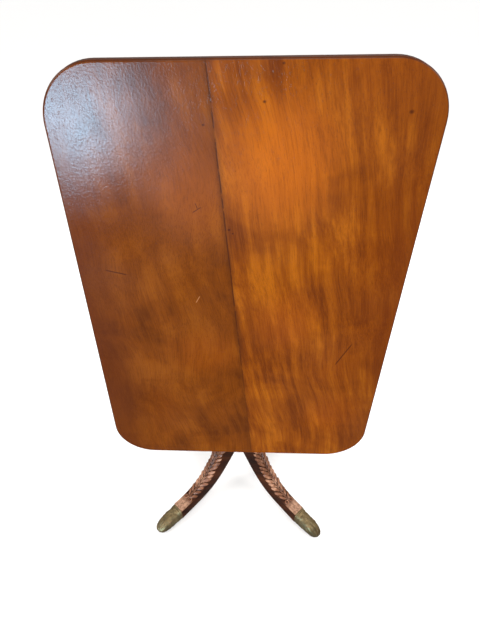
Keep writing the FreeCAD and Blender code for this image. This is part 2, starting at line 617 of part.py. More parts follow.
def leg(side, azimuth):
    """A sabre leg: swept blade, dovetail tongue and the stub that the cap fits over."""
    piece = body(f"leg_{side}", azimuth)
    blade = sketch_on(piece, "XZ_Plane", "blade")
    seat_foot = Vector(leg_top.x, heel.y, 0)
    blade.addGeometry([
        Part.LineSegment(leg_top, seat_foot), Part.LineSegment(seat_foot, heel),
        Part.LineSegment(heel, heel_end),
        sweep_curve(heel_end, number("size.heel_slope"), 0.45,
                    ankle_under, number("size.ankle_under_slope"), 0.5),
        Part.LineSegment(ankle_under, ankle_top),
        sweep_curve(leg_top, number("size.leg_crest_slope"), 0.44,
                    ankle_top, number("size.ankle_top_slope"), 0.42)])
    pad(piece, blade, "size.leg_width", midplane=True)
    tongue = outline(sketch_on(piece, "XY_Plane", "tongue", "size.column_foot"), (
        ("size.leg_seat_radius - size.tongue_depth", "-size.tongue_tip / 2"),
        ("size.leg_seat_radius", "-size.tongue_root / 2"),
        ("size.leg_seat_radius + 2", "-size.tongue_root / 2"),
        ("size.leg_seat_radius + 2", "size.tongue_root / 2"),
        ("size.leg_seat_radius", "size.tongue_root / 2"),
        ("size.leg_seat_radius - size.tongue_depth", "size.tongue_tip / 2")))
    pad(piece, tongue, "size.leg_seat_height - 4")
    pad(piece, box_outline(sketch_on(piece, "XZ_Plane", "stub"), f"{CAP_MOUTH} - 8",
                           f"{CAP_MOUTH} + size.cap_socket - size.fit_gap",
                           STUB_LOW, STUB_HIGH),
        "size.cap_width - 2 * size.cap_wall - 2 * size.fit_gap", midplane=True)
    drill(piece, "cap_screw", Vector(cap_screw_r, 0, CAP_SCREW_RISE), -Z,
          "size.pin_screw_radius + size.fit_gap", PIN_HOLE_DEPTH)
    drill(piece, "brace_screw", brace_screw_point(), brace_out,
          "size.pin_screw_radius + size.fit_gap", PIN_HOLE_DEPTH)


def toe_cap(side, azimuth):
    """A cast cap, open at the back, that shoes the end of a leg."""
    piece = body(f"toe_cap_{side}", azimuth)
    reach, round_up = "size.leg_reach", "size.toe_round"
    pad(piece, outline(sketch_on(piece, "XZ_Plane", "side"), (
        (f"{CAP_MOUTH} + size.cap_heel", "0"), (f"{reach} - {round_up}", "0", round_up), (reach, round_up),
        (reach, "size.toe_height"), (f"{reach} - size.toe_run", "size.ankle_top - size.toe_drop"),
        (CAP_MOUTH, "size.ankle_top + size.cap_lip"), (CAP_MOUTH, "size.ankle_under - size.cap_lip"))),
        "size.cap_width", midplane=True)
    pocket(piece, box_outline(sketch_on(piece, "XZ_Plane", "socket"), f"{CAP_MOUTH} - 1",
                              f"{CAP_MOUTH} + size.cap_socket",
                              f"{STUB_LOW} - size.fit_gap", f"{STUB_HIGH} + size.fit_gap"),
           "size.cap_width - 2 * size.cap_wall", midplane=True)
    drill_for_screw(piece, "screw", "pin_screw", Vector(cap_screw_r, 0, CAP_SCREW_RISE), -Z,
                    "1", "size.pin_screw_length")


LEGS = (("front_left", 225), ("front_right", 315), ("back_right", 45), ("back_left", 135))
for side, azimuth in LEGS:
    leg(side, azimuth)
    toe_cap(side, azimuth)
screws("toe_cap_screws", "pin_screw",
       [(Rotation(Z, azimuth).multVec(Vector(cap_screw_r, 0, CAP_SCREW_RISE)), -Z) for _, azimuth in LEGS])

# ---------------------------------------------------------------- the iron brace under the column
brace = body("brace_plate", 45)
thickness = number("size.brace_thickness")
turned(brace, (("0", "size.column_foot - size.brace_thickness"),
               ("size.brace_disc_radius", "size.column_foot - size.brace_thickness"),
               ("size.brace_disc_radius", "size.column_foot"), ("0", "size.column_foot")), "disc")
arm_sketch = sketch_on(brace, "XZ_Plane", "arm")
along = Vector(math.cos(slope), -math.sin(slope), 0) * number("size.brace_arm")
under = Vector(-math.sin(slope), -math.cos(slope), 0) * thickness
lap = Vector(-number("size.brace_lap"), 0, 0)
bend_in = Vector(-thickness * math.tan(slope / 2), -thickness, 0)
arm_points = [heel + lap - Y * thickness, heel + bend_in, heel + along + under, heel + along, heel, heel + lap]
for here, there in zip(arm_points, arm_points[1:] + arm_points[:1]):
    arm_sketch.addGeometry(Part.LineSegment(here, there))
arm = pad(brace, arm_sketch, "size.brace_width", midplane=True)
arms = brace.newObject("PartDesign::PolarPattern", "brace_arms")
arms.Originals = [arm]
arms.Axis = ([item for item in brace.Origin.OriginFeatures if item.Role == "Z_Axis"][0], [""])
arms.Angle = 360
arms.Occurrences = 4
brace.Tip = arms
doc.recompute()
brace_places = [(Vector(0, 0, number("size.column_foot") - thickness), -Z)]
for quarter in range(4):
    turn = Rotation(Z, 90 * quarter)
    brace_places.append((turn.multVec(brace_screw_point()), turn.multVec(brace_out)))
for count, (place, outward) in enumerate(brace_places):
    drill(brace, f"screw_{count}_seat", place, outward, "size.pin_screw_head + size.fit_gap",
          "size.pin_screw_head_height")
    drill(brace, f"screw_{count}_hole", place, outward, "size.pin_screw_radius + size.fit_gap",
          "size.brace_thickness")
drill(column, "brace_screw", brace_places[0][0], -Z, "size.pin_screw_radius + size.fit_gap",
      PIN_HOLE_DEPTH)
quarter_turn = Rotation(Z, 45)
screws("brace_screws", "pin_screw",
       [(quarter_turn.multVec(place), quarter_turn.multVec(outward)) for place, outward in brace_places])

# ---------------------------------------------------------------- check and write every node
doc.recompute()
for item in doc.Objects:
    if "Invalid" in item.State or "Error" in item.State:
        raise RuntimeError(f"{item.Label}: {item.State}")
os.makedirs("parts", exist_ok=True)
for node in nodes:
    if node.Shape.isNull() or not node.Shape.isValid():
        raise RuntimeError(f"{node.Label}: shape is not valid")
    node.Shape.exportStep(f"parts/{node.Label}.step")
    box = node.Shape.BoundBox
    print(f"{node.Label:20s} solids {len(node.Shape.Solids)} volume {node.Shape.Volume:12.1f} "
          f"z {box.ZMin:8.2f} to {box.ZMax:8.2f}")
print(len(nodes), "nodes")
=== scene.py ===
import math
import bpy
from mathutils import Matrix, Vector


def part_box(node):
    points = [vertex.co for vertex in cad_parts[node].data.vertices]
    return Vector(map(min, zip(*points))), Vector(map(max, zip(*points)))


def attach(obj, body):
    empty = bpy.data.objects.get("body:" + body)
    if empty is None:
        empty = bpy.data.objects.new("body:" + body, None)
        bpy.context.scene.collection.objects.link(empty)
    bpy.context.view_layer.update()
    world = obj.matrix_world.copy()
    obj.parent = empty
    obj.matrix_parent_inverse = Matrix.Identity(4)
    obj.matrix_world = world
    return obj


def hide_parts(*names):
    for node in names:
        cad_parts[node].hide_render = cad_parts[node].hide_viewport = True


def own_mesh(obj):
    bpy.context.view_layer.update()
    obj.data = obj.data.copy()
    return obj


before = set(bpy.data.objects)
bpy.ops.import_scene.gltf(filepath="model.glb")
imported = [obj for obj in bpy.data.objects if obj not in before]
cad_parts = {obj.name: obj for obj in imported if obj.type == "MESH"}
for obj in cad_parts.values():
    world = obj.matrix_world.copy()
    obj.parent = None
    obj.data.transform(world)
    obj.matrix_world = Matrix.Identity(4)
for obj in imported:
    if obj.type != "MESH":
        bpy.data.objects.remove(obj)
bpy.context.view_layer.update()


# ---------------------------------------------------------------------------------------------
# The legs: four sabre legs of mahogany, sawn to their sweep, with softened edges. Along
# the top of each runs a carved laurel garland: two rows of leaves on a double stem, ending above
# the ankle in two scroll eyes. One garland is modelled flat, bent along the crest and copied.
LEG_AZIMUTHS = {"front_left": 225, "front_right": 315, "back_right": 45, "back_left": 135}


def add_node(tree, kind, inputs=None, **settings):
    """A shader node with its settings; an input is a number, a colour or another node's socket."""
    node = tree.nodes.new(f"ShaderNode{kind}")
    for name, value in settings.items():
        setattr(node, name, value)
    for key, value in (inputs or {}).items():
        if isinstance(value, bpy.types.NodeSocket):
            tree.links.new(value, node.inputs[key])
        else:
            node.inputs[key].default_value = value
    return node


def sums(tree, operation, *terms):
    """One Math node's result."""
    return add_node(tree, "Math", dict(enumerate(terms)), operation=operation).outputs[0]


def tint(tree, mask, under, over):
    """Colour `over` laid on `under` where the mask is 1."""
    return add_node(tree, "Mix", {0: mask, 6: under, 7: over}, data_type="RGBA").outputs[2]


def ramp(tree, value, low, high, to_low=0.0, to_high=1.0):
    """Value mapped smoothly from one range to another and clamped."""
    inputs = {"Value": value, "From Min": low, "From Max": high, "To Min": to_low, "To Max": to_high}
    return add_node(tree, "MapRange", inputs, interpolation_type="SMOOTHSTEP").outputs["Result"]


def new_finish(name):
    """An empty material: returns it with its tree, its Principled shader and the Object coordinates."""
    finish = bpy.data.materials.new(name)
    finish.use_nodes = True
    tree = finish.node_tree
    coordinates = add_node(tree, "TexCoord").outputs["Object"]
    return finish, tree, tree.nodes["Principled BSDF"], coordinates


def new_group(name, inputs, outputs):
    """An empty node group with named inputs (name, socket kind, default) and outputs (name, kind)."""
    group = bpy.data.node_groups.new(name, "ShaderNodeTree")
    for label, kind, default in inputs:
        socket = group.interface.new_socket(label, in_out="INPUT", socket_type=f"NodeSocket{kind}")
        if default is not None:
            socket.default_value = default
    for label, kind in outputs:
        group.interface.new_socket(label, in_out="OUTPUT", socket_type=f"NodeSocket{kind}")
    enter = group.nodes.new("NodeGroupInput")
    leave = group.nodes.new("NodeGroupOutput")
    return group, enter.outputs, leave.inputs


def use_group(tree, group, inputs):
    """One use of a node group, with its inputs set or linked by name."""
    node = tree.nodes.new("ShaderNodeGroup")
    node.node_tree = group
    for key, value in inputs.items():
        if isinstance(value, bpy.types.NodeSocket):
            tree.links.new(value, node.inputs[key])
        else:
            node.inputs[key].default_value = value
    return node.outputs


# Wood grain along Z: broad ribbons, fine fibres and short dark pores, all warped a little.
wood_grain, given, result = new_group("wood_grain", (
    ("Vector", "Vector", None), ("Ribbon Scale", "Float", 55.0), ("Ribbon Stretch", "Float", 0.04),
    ("Warp", "Float", 0.02), ("Warp Scale", "Float", 4.0)),
    (("Ribbon", "Float"), ("Fibre", "Float"), ("Pores", "Float"), ("Cloud", "Float")))
tree = wood_grain
drift = add_node(tree, "TexNoise", {"Vector": given["Vector"], "Scale": given["Warp Scale"], "Detail": 0.6})
shifted = add_node(tree, "VectorMath", {0: drift.outputs["Color"], 1: (0.5, 0.5, 0.5)}, operation="SUBTRACT")
shifted = add_node(tree, "VectorMath", {0: shifted.outputs[0], "Scale": given["Warp"]}, operation="SCALE")
warped = add_node(tree, "VectorMath", {0: given["Vector"], 1: shifted.outputs[0]}, operation="ADD").outputs[0]
long_axis = add_node(tree, "CombineXYZ", {"X": 1.0, "Y": 1.0, "Z": given["Ribbon Stretch"]}).outputs[0]
drawn = add_node(tree, "VectorMath", {0: warped, 1: long_axis}, operation="MULTIPLY").outputs[0]
ribbon = add_node(tree, "TexNoise", {"Vector": drawn, "Scale": given["Ribbon Scale"], "Detail": 3.0,
                                     "Roughness": 0.55})
fine = add_node(tree, "VectorMath", {0: warped, 1: (1.0, 1.0, 0.03)}, operation="MULTIPLY").outputs[0]
fibre = add_node(tree, "TexNoise", {"Vector": fine, "Scale": 520.0, "Detail": 3.0, "Roughness": 0.75})
short = add_node(tree, "VectorMath", {0: warped, 1: (1.0, 1.0, 0.15)}, operation="MULTIPLY").outputs[0]
pores = add_node(tree, "TexNoise", {"Vector": short, "Scale": 1150.0, "Detail": 1.0})
cloud = add_node(tree, "TexNoise", {"Vector": warped, "Scale": 7.0, "Detail": 4.0, "Roughness": 0.55,
                                    "Distortion": 0.6})
tree.links.new(ramp(tree, ribbon.outputs["Fac"], 0.30, 0.70), result["Ribbon"])
tree.links.new(ramp(tree, fibre.outputs["Fac"], 0.3, 0.7), result["Fibre"])
tree.links.new(ramp(tree, pores.outputs["Fac"], 0.62, 0.76), result["Pores"])
tree.links.new(ramp(tree, cloud.outputs["Fac"], 0.34, 0.66), result["Cloud"])


def soften(piece, width, segments=2, angle=32.0):
    """Merge a CAD piece's loose triangles and round its sharp edges."""
    weld = piece.modifiers.new("weld", "WELD")
    weld.merge_threshold = 0.00002
    plain = piece.modifiers.new("plain", "DECIMATE")
    plain.decimate_type = "DISSOLVE"
    plain.angle_limit = math.radians(0.4)
    bevel = piece.modifiers.new("bevel", "BEVEL")
    bevel.width = width
    bevel.segments = segments
    bevel.limit_method = "ANGLE"
    bevel.angle_limit = math.radians(angle)
    bevel.use_clamp_overlap = True
    bevel.harden_normals = False


# Wear and shade: Edge is 1 where a rounded normal leaves the flat one; the occlusion output is 1 deep in the
# corners, and colour darkened by it is painted shade.
wear, given, result = new_group("wear", (
    ("Radius", "Float", 0.003), ("Reach", "Float", 0.010), ("Shade From", "Float", 0.85),
    ("Shade To", "Float", 0.35)), (("Edge", "Float"), ("Corner Shade", "Float")))
rounded = add_node(wear, "Bevel", {"Radius": given["Radius"]}, samples=6).outputs[0]
flat = add_node(wear, "NewGeometry").outputs["Normal"]
agree = add_node(wear, "VectorMath", {0: rounded, 1: flat}, operation="DOT_PRODUCT").outputs["Value"]
open_air = add_node(wear, "AmbientOcclusion", {"Distance": given["Reach"]}, samples=6).outputs["AO"]
wear.links.new(ramp(wear, agree, 0.995, 0.86), result["Edge"])
wear.links.new(ramp(wear, open_air, given["Shade From"], given["Shade To"]), result["Corner Shade"])


def frame_wood_finish(name, deep, middle, light, axis, sheen_low, sheen_high, corner_shade_share, edge_share,
                      gloss=0.28, edge_tone=(0.38, 0.15, 0.06, 1), edge_radius=0.003, corner_shade_reach=0.010,
                      corner_shade_from=0.85, corner_shade_to=0.35):
    """Polished solid mahogany with its grain along one axis (a rotation that lays it on Z)."""
    finish, tree, shader, place = new_finish(name)
    laid = add_node(tree, "VectorRotate", {"Vector": place, "Rotation": axis}, rotation_type="EULER_XYZ")
    grain = use_group(tree, wood_grain, {"Vector": laid.outputs[0], "Ribbon Scale": 60.0,
                                         "Ribbon Stretch": 0.06, "Warp": 0.03})
    figure = sums(tree, "ADD", sums(tree, "MULTIPLY", grain["Ribbon"], 0.6),
                  sums(tree, "MULTIPLY", grain["Cloud"], 0.4))
    colour = tint(tree, ramp(tree, figure, 0.0, 0.6), deep, middle)
    colour = tint(tree, ramp(tree, figure, 0.5, 1.0), colour, light)
    colour = tint(tree, sums(tree, "MULTIPLY", ramp(tree, grain["Fibre"], 0.6, 0.0), 0.35), colour, deep)
    colour = tint(tree, sums(tree, "MULTIPLY", grain["Pores"], 0.5), colour, (0.020, 0.006, 0.002, 1))
    worked = use_group(tree, wear, {"Radius": edge_radius, "Reach": corner_shade_reach, "Shade From": corner_shade_from,
                                    "Shade To": corner_shade_to})
    edge, dirt_and_shade = worked["Edge"], worked["Corner Shade"]
    edge_wear_and_highlight = add_node(tree, "TexNoise", {"Vector": place, "Scale": 60.0, "Detail": 4.0}).outputs["Fac"]
    edge = sums(tree, "MULTIPLY", edge, ramp(tree, edge_wear_and_highlight, 0.35, 0.6))
    # lighter edges: wear on most pieces; on the garland, with its pale edge tone, a painted highlight
    colour = tint(tree, sums(tree, "MULTIPLY", edge, edge_share), colour, edge_tone)
    # deep corners, recesses and the gaps of the carving darkened by the occlusion mask: painted shade
    colour = tint(tree, sums(tree, "MULTIPLY", dirt_and_shade, corner_shade_share), colour, (0.022, 0.007, 0.003, 1))
    tree.links.new(colour, shader.inputs["Base Color"])
    rub = add_node(tree, "TexNoise", {"Vector": place, "Scale": 16.0, "Detail": 5.0}).outputs["Fac"]
    rough = ramp(tree, rub, 0.3, 0.7, sheen_low, sheen_high)
    tree.links.new(sums(tree, "ADD", rough, sums(tree, "MULTIPLY", dirt_and_shade, 0.25)), shader.inputs["Roughness"])
    shader.inputs["Specular IOR Level"].default_value = gloss
    dents = add_node(tree, "TexNoise", {"Vector": place, "Scale": 45.0, "Detail": 3.0}).outputs["Fac"]
    relief = sums(tree, "ADD", sums(tree, "MULTIPLY", grain["Fibre"], 0.4),
                  sums(tree, "MULTIPLY", dents, 1.2))
    relief = sums(tree, "SUBTRACT", relief, sums(tree, "MULTIPLY", grain["Pores"], 0.5))
    bump = add_node(tree, "Bump", {"Height": relief, "Strength": 0.35, "Distance": 0.0005})
    tree.links.new(bump.outputs[0], shader.inputs["Normal"])
    return finish


def paint(piece, finish):
    """Give a piece one material."""
    piece.data.materials.clear()
    piece.data.materials.append(finish)


def grain_along_leg(azimuth):
    """Turn that lays a leg's grain, which runs about 40 degrees down from the column, along Z."""
    turn = Matrix.Rotation(math.radians(-50), 3, "Y") @ Matrix.Rotation(math.radians(-azimuth), 3, "Z")
    return tuple(turn.to_euler())


for side, azimuth in LEG_AZIMUTHS.items():
    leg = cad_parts[f"leg_{side}"]
    soften(leg, 0.0022, segments=3)
    leg_finish = frame_wood_finish(
        f"leg_mahogany_{side}", (0.020, 0.004, 0.001, 1), (0.046, 0.010, 0.001, 1), (0.088, 0.021, 0.003, 1),
        grain_along_leg(azimuth), 0.32, 0.44, 0.6, 0.35, gloss=0.15)
    # the flat on top between the carving and the toe cap is painted paler where it faces up, in streaks along
    # the leg: a painted sheen
    tree = leg_finish.node_tree
    shader = tree.nodes["Principled BSDF"]
    place = add_node(tree, "TexCoord").outputs["Object"]
    across = add_node(tree, "SeparateXYZ", {"Vector": place}).outputs
    x_square = sums(tree, "MULTIPLY", across["X"], across["X"])
    y_square = sums(tree, "MULTIPLY", across["Y"], across["Y"])
    from_column = sums(tree, "POWER", sums(tree, "ADD", x_square, y_square), 0.5)
    normal = add_node(tree, "NewGeometry").outputs["Normal"]
    upward = add_node(tree, "SeparateXYZ", {"Vector": normal}).outputs["Z"]
    painted_sheen = sums(tree, "MULTIPLY", ramp(tree, upward, 0.80, 0.975), ramp(tree, from_column, 0.210, 0.236))
    laid = add_node(tree, "VectorRotate", {"Vector": place, "Rotation": grain_along_leg(azimuth)},
                    rotation_type="EULER_XYZ").outputs[0]
    drawn = add_node(tree, "Mapping", {"Vector": laid, "Scale": (1.0, 1.0, 0.15)}).outputs[0]
    streaks = add_node(tree, "TexNoise", {"Vector": drawn, "Scale": 210.0, "Detail": 4.0}).outputs["Fac"]
    painted_sheen = sums(tree, "MULTIPLY", painted_sheen, ramp(tree, streaks, 0.30, 0.66, 0.35, 0.95))
    colour = shader.inputs["Base Color"].links[0].from_socket
    tree.links.new(tint(tree, painted_sheen, colour, (0.420, 0.240, 0.155, 1)), shader.inputs["Base Color"])
    paint(leg, leg_finish)

# the crest line that the garland follows, in a leg's own upright plane (r, z)
SEAT_R, CREST_Z, ANKLE_R, ANKLE_Z = 0.042, 0.245, 0.258, 0.045
start, end = Vector((SEAT_R, CREST_Z)), Vector((ANKLE_R, ANKLE_Z))
span = (end - start).length
leave, arrive = math.radians(60), math.radians(5)
near = start + Vector((math.cos(leave), -math.sin(leave))) * span * 0.44
far = end - Vector((math.cos(arrive), -math.sin(arrive))) * span * 0.42
crest = []
for step in range(121):
    t = step / 120
    crest.append(start * (1 - t)**3 + near * 3 * t * (1 - t)**2 + far * 3 * t**2 * (1 - t) + end * t**3)
crest_length = sum((there - here).length for here, there in zip(crest, crest[1:]))

# one laurel leaf: a domed, pointed grid with a sunk midrib, its foot at the origin, tip at -X
LEAF_LENGTH, LEAF_HALF, LEAF_RISE = 0.0280, 0.0060, 0.0058
bpy.ops.object.select_all(action="DESELECT")
bpy.ops.mesh.primitive_grid_add(x_subdivisions=12, y_subdivisions=8, size=2)
leaf = bpy.context.object
for vertex in leaf.data.vertices:
    along = (1 - vertex.co.x) / 2
    side = vertex.co.y
    breadth = LEAF_HALF * (0.22 * (1 - along) + 1.95 * along**0.8 * (1 - along)**0.62) + 0.0002
    dome = math.sqrt(max(0.0, 1 - 0.96 * side**2)) * math.sin(math.pi * min(1, 0.16 + 0.84 * along))**0.5
    rib = 0.0010 * math.exp(-(side / 0.16)**2) * (1 - along**4)
    vertex.co = Vector((-along * LEAF_LENGTH, side * breadth + 0.0014 * along**2,
                        LEAF_RISE * (0.25 + 0.75 * dome) * (1 - 0.30 * along**3) - rib))
bpy.ops.object.mode_set(mode="EDIT")
bpy.ops.mesh.select_mode(type="EDGE")
bpy.ops.mesh.select_all(action="DESELECT")
bpy.ops.mesh.select_non_manifold()
bpy.ops.mesh.extrude_region_move(TRANSFORM_OT_translate={"value": (0, 0, -0.0040)})
bpy.ops.mesh.select_all(action="SELECT")
bpy.ops.mesh.normals_make_consistent(inside=False)
bpy.ops.object.mode_set(mode="OBJECT")
leaf.name = "laurel_leaf"

# the garland: leaves in pairs up the leg, a double stem and two scroll eyes at its lower end
PITCH, LEAF_ANGLE = 0.0150, math.radians(29)
GARLAND_START, GARLAND_END = 0.020, crest_length - 0.046
EYE_X, EYE_Y = GARLAND_END + 0.004, 0.0080
parts = []
pairs = int((GARLAND_END - 0.004 - GARLAND_START - 0.8 * LEAF_LENGTH) / PITCH)
for pair in range(pairs + 1):
    foot_x = GARLAND_END - 0.004 - pair * PITCH
    shrink = 0.82 + 0.18 * min(1.0, pair / 3)
    for hand in (-1, 1):
        copy = leaf.copy()
        copy.data = leaf.data.copy()
        bpy.context.scene.collection.objects.link(copy)
        flip = Matrix.Scale(hand, 4, (0, 1, 0))
        lean = Matrix.Rotation(-hand * (LEAF_ANGLE + 0.05 * math.sin(2.3 * pair + hand)), 4, "Z")
        size = Matrix.Scale(shrink * (1 + 0.05 * math.sin(1.7 * pair + hand)), 4)
        shift = Matrix.Translation((foot_x + 0.004 * (hand > 0), hand * 0.0042, 0.0))
        copy.data.transform(shift @ lean @ size @ flip)
        if hand < 0:
            copy.data.flip_normals()
        parts.append(copy)
for hand in (-1, 1):
    bpy.ops.object.select_all(action="DESELECT")
    length = GARLAND_END - GARLAND_START + 0.004
    bpy.ops.mesh.primitive_cylinder_add(vertices=10, radius=0.00125, depth=length,
                                        rotation=(0, math.pi / 2, 0),
                                        location=((GARLAND_START + GARLAND_END) / 2, hand * 0.0016, 0.0017))
    stem = bpy.context.object
    bpy.ops.object.transform_apply(location=True, rotation=True, scale=True)
    bpy.ops.object.mode_set(mode="EDIT")
    bpy.ops.mesh.select_all(action="SELECT")
    bpy.ops.mesh.bisect(plane_co=(GARLAND_END - 0.01, 0, 0), plane_no=(1, 0, 0))
    bpy.ops.object.mode_set(mode="OBJECT")
    for cut in range(1, 40):
        bpy.ops.object.mode_set(mode="EDIT")
        bpy.ops.mesh.select_all(action="SELECT")
        bpy.ops.mesh.bisect(plane_co=(GARLAND_START + cut * (GARLAND_END - 0.012 - GARLAND_START) / 40, 0, 0),
                            plane_no=(1, 0, 0))
        bpy.ops.object.mode_set(mode="OBJECT")
    parts.append(stem)
    bpy.ops.object.select_all(action="DESELECT")
    bpy.ops.mesh.primitive_torus_add(major_segments=28, minor_segments=10, major_radius=0.0052,
                                     minor_radius=0.0019, location=(EYE_X, hand * EYE_Y, 0.0012))
    eye = bpy.context.object
    bpy.ops.object.transform_apply(location=True, rotation=True, scale=True)
    parts.append(eye)
    bpy.ops.object.select_all(action="DESELECT")
    bpy.ops.mesh.primitive_uv_sphere_add(segments=14, ring_count=8, radius=0.0021,
                                         location=(EYE_X, hand * EYE_Y, 0.0010))
    bud = bpy.context.object
    bpy.ops.object.transform_apply(location=True, rotation=True, scale=True)
    parts.append(bud)
bpy.data.objects.remove(leaf)
bpy.ops.object.select_all(action="DESELECT")
for part in parts:
    part.select_set(True)
bpy.context.view_layer.objects.active = parts[0]
bpy.ops.object.join()
garland = bpy.context.object

# bend it: every point's X becomes a length along the crest, its Z a height square to the crest
run = [0.0]
for here, there in zip(crest, crest[1:]):
    run.append(run[-1] + (there - here).length)
for vertex in garland.data.vertices:
    length = min(max(vertex.co.x, 0.0), crest_length - 1e-6)
    index = max(number for number in range(len(crest) - 1) if run[number] <= length)
    share = (length - run[index]) / (run[index + 1] - run[index])
    point = crest[index].lerp(crest[index + 1], share)
    tangent = (crest[min(index + 2, 120)] - crest[max(index - 1, 0)]).normalized()
    sag = 0.0006 * (vertex.co.y / 0.018)**2
    rise = vertex.co.z - sag
    vertex.co = Vector((point.x - tangent.y * rise, vertex.co.y, point.y + tangent.x * rise))
bpy.ops.object.shade_smooth_by_angle(angle=math.radians(50))

for side, azimuth in LEG_AZIMUTHS.items():
    carving = garland.copy()
    carving.data = garland.data.copy()
    carving.name = f"garland_{side}"
    bpy.context.scene.collection.objects.link(carving)
    carving.data.transform(Matrix.Rotation(math.radians(azimuth), 4, "Z"))
    # the garland's mahogany is painted far paler than the leg's and paler still at the leaf edges: a painted
    # highlight on the raised leaves, with painted shade in the gaps between them
    paint(carving, frame_wood_finish(
        f"garland_mahogany_painted_highlight_{side}", (0.120, 0.038, 0.014, 1), (0.260, 0.102, 0.048, 1),
        (0.620, 0.330, 0.200, 1), grain_along_leg(azimuth), 0.26, 0.40, 0.97, 0.9, gloss=0.35,
        edge_tone=(0.78, 0.50, 0.34, 1), edge_radius=0.0012, corner_shade_reach=0.0055, corner_shade_from=0.93,
        corner_shade_to=0.50))
    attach(carving, "base")
bpy.data.objects.remove(garland)


# ---------------------------------------------------------------------------------------------
# The toe caps: cast brass shoes over the leg ends, with a moulded mouth, a paw's combed locks on
# top, rounded toes and a plain sole. Old and olive-brown, brighter on the raised relief, with painted
# shade darkening the hollows, the deep corners and the part near the floor.
# One is drawn up through its sections, given its relief and copied; a screw holds each from below.
CAP_RELIEF_START, CAP_TIP, CAP_RING = 0.2690, 0.338, 40
# stations along the cap: r, half width, sole height, top height, squareness of the section
CAP_STATIONS = (
    (0.2580, 0.0196, 0.0052, 0.0466, 3.6), (0.2592, 0.0205, 0.0042, 0.0472, 3.6),
    (0.2612, 0.0206, 0.0036, 0.0473, 3.6), (0.2626, 0.0197, 0.0036, 0.0462, 3.6),
    (0.2636, 0.0197, 0.0032, 0.0460, 3.6), (0.2650, 0.0203, 0.0026, 0.0465, 3.4),
    (0.2668, 0.0203, 0.0018, 0.0464, 3.4), (0.2680, 0.0194, 0.0014, 0.0452, 3.4),
    (0.2700, 0.0196, 0.0004, 0.0450, 3.2), (0.2760, 0.0202, 0.0000, 0.0448, 3.0),
    (0.2840, 0.0207, 0.0000, 0.0438, 2.9), (0.2920, 0.0210, 0.0000, 0.0423, 2.8),
    (0.3000, 0.0210, 0.0000, 0.0403, 2.7), (0.3080, 0.0207, 0.0000, 0.0378, 2.6),
    (0.3160, 0.0198, 0.0001, 0.0345, 2.5), (0.3230, 0.0183, 0.0008, 0.0306, 2.4),
    (0.3290, 0.0160, 0.0024, 0.0264, 2.3), (0.3335, 0.0128, 0.0050, 0.0222, 2.2),
    (0.3365, 0.0088, 0.0082, 0.0182, 2.1), (0.3378, 0.0040, 0.0112, 0.0146, 2.0))


def ring_tube(count, rings):
    """An open tube of unit rings one above another, drawn up from one circle, ready for shaping."""
    bpy.ops.object.select_all(action="DESELECT")
    bpy.ops.mesh.primitive_circle_add(vertices=count, radius=1, fill_type="NOTHING", location=(0, 0, 0))
    tube = bpy.context.object
    bpy.ops.object.mode_set(mode="EDIT")
    bpy.ops.mesh.select_mode(type="EDGE")
    bpy.ops.mesh.select_all(action="SELECT")
    for _ in range(rings - 1):
        bpy.ops.mesh.extrude_edges_move(TRANSFORM_OT_translate={"value": (0, 0, 1)})
    bpy.ops.object.mode_set(mode="OBJECT")
    return tube


def close_ends(tube):
    """Cap the open ends of a tube and turn its faces outward."""
    bpy.context.view_layer.objects.active = tube
    bpy.ops.object.mode_set(mode="EDIT")
    bpy.ops.mesh.select_all(action="DESELECT")
    bpy.ops.mesh.select_mode(type="EDGE")
    bpy.ops.mesh.select_non_manifold()
    bpy.ops.mesh.edge_face_add()
    bpy.ops.mesh.select_all(action="SELECT")
    bpy.ops.mesh.normals_make_consistent(inside=False)
    bpy.ops.object.mode_set(mode="OBJECT")


shoe = ring_tube(CAP_RING, len(CAP_STATIONS))
for vertex in shoe.data.vertices:
    reach, half, sole, top, square = CAP_STATIONS[round(vertex.co.z)]
    angle = math.atan2(vertex.co.y, vertex.co.x)
    cosine, sine = math.cos(angle), math.sin(angle)
    across = math.copysign(abs(cosine) ** (2 / square), cosine) * half
    high = math.copysign(abs(sine) ** (2 / square), sine)
    vertex.co = Vector((reach, across, (sole + top) / 2 + high * (top - sole) / 2))
close_ends(shoe)
remesh = shoe.modifiers.new("remesh", "REMESH")
remesh.mode = "VOXEL"
remesh.voxel_size = 0.00055
bpy.context.view_layer.objects.active = shoe
bpy.ops.object.modifier_apply(modifier="remesh")

# the relief: four toes at the tip parted by grooves, and combed locks over the top and sides
for vertex in shoe.data.vertices:
    reach, across, high = vertex.co
    inward = Vector((0.0, -across, 0.024 - high)).normalized()
    along = (reach - CAP_RELIEF_START) / (CAP_TIP - CAP_RELIEF_START)
    if along < 0 or high < 0.0035:
        continue
    upper = min(1.0, max(0.0, (high - 0.0035) / 0.006))
    begin = min(1.0, along / 0.05)
    spread = math.atan2(across, max(high - 0.004, 0.004)) * 3.05
    locks = math.sin(spread * 3.4 + 7.0 * math.sin(along * 3.1) * math.copysign(1, across))
    waves = math.sin(along * 24 + 1.6 * math.cos(spread * 3.4))
    hair = (0.8 * locks + 0.8 * waves * locks) * (1 - min(1.0, max(0.0, (along - 0.52) / 0.14)))
    toe_zone = min(1.0, max(0.0, (along - 0.55) / 0.15))
    groove = abs(math.sin(math.pi * (across / 0.0205 * 2.0)))
    toes = (groove ** 0.35 - 1.0) * 2.2 * toe_zone
    knuckle = 0.9 * math.exp(-((along - 0.72) / 0.07)**2) * groove
    depth = 0.00070 * (hair - 1.0) + 0.0013 * toes * upper + 0.0008 * knuckle
    vertex.co -= inward * (depth * upper * begin)
bpy.ops.object.shade_smooth()
shoe.name = "toe_shoe"

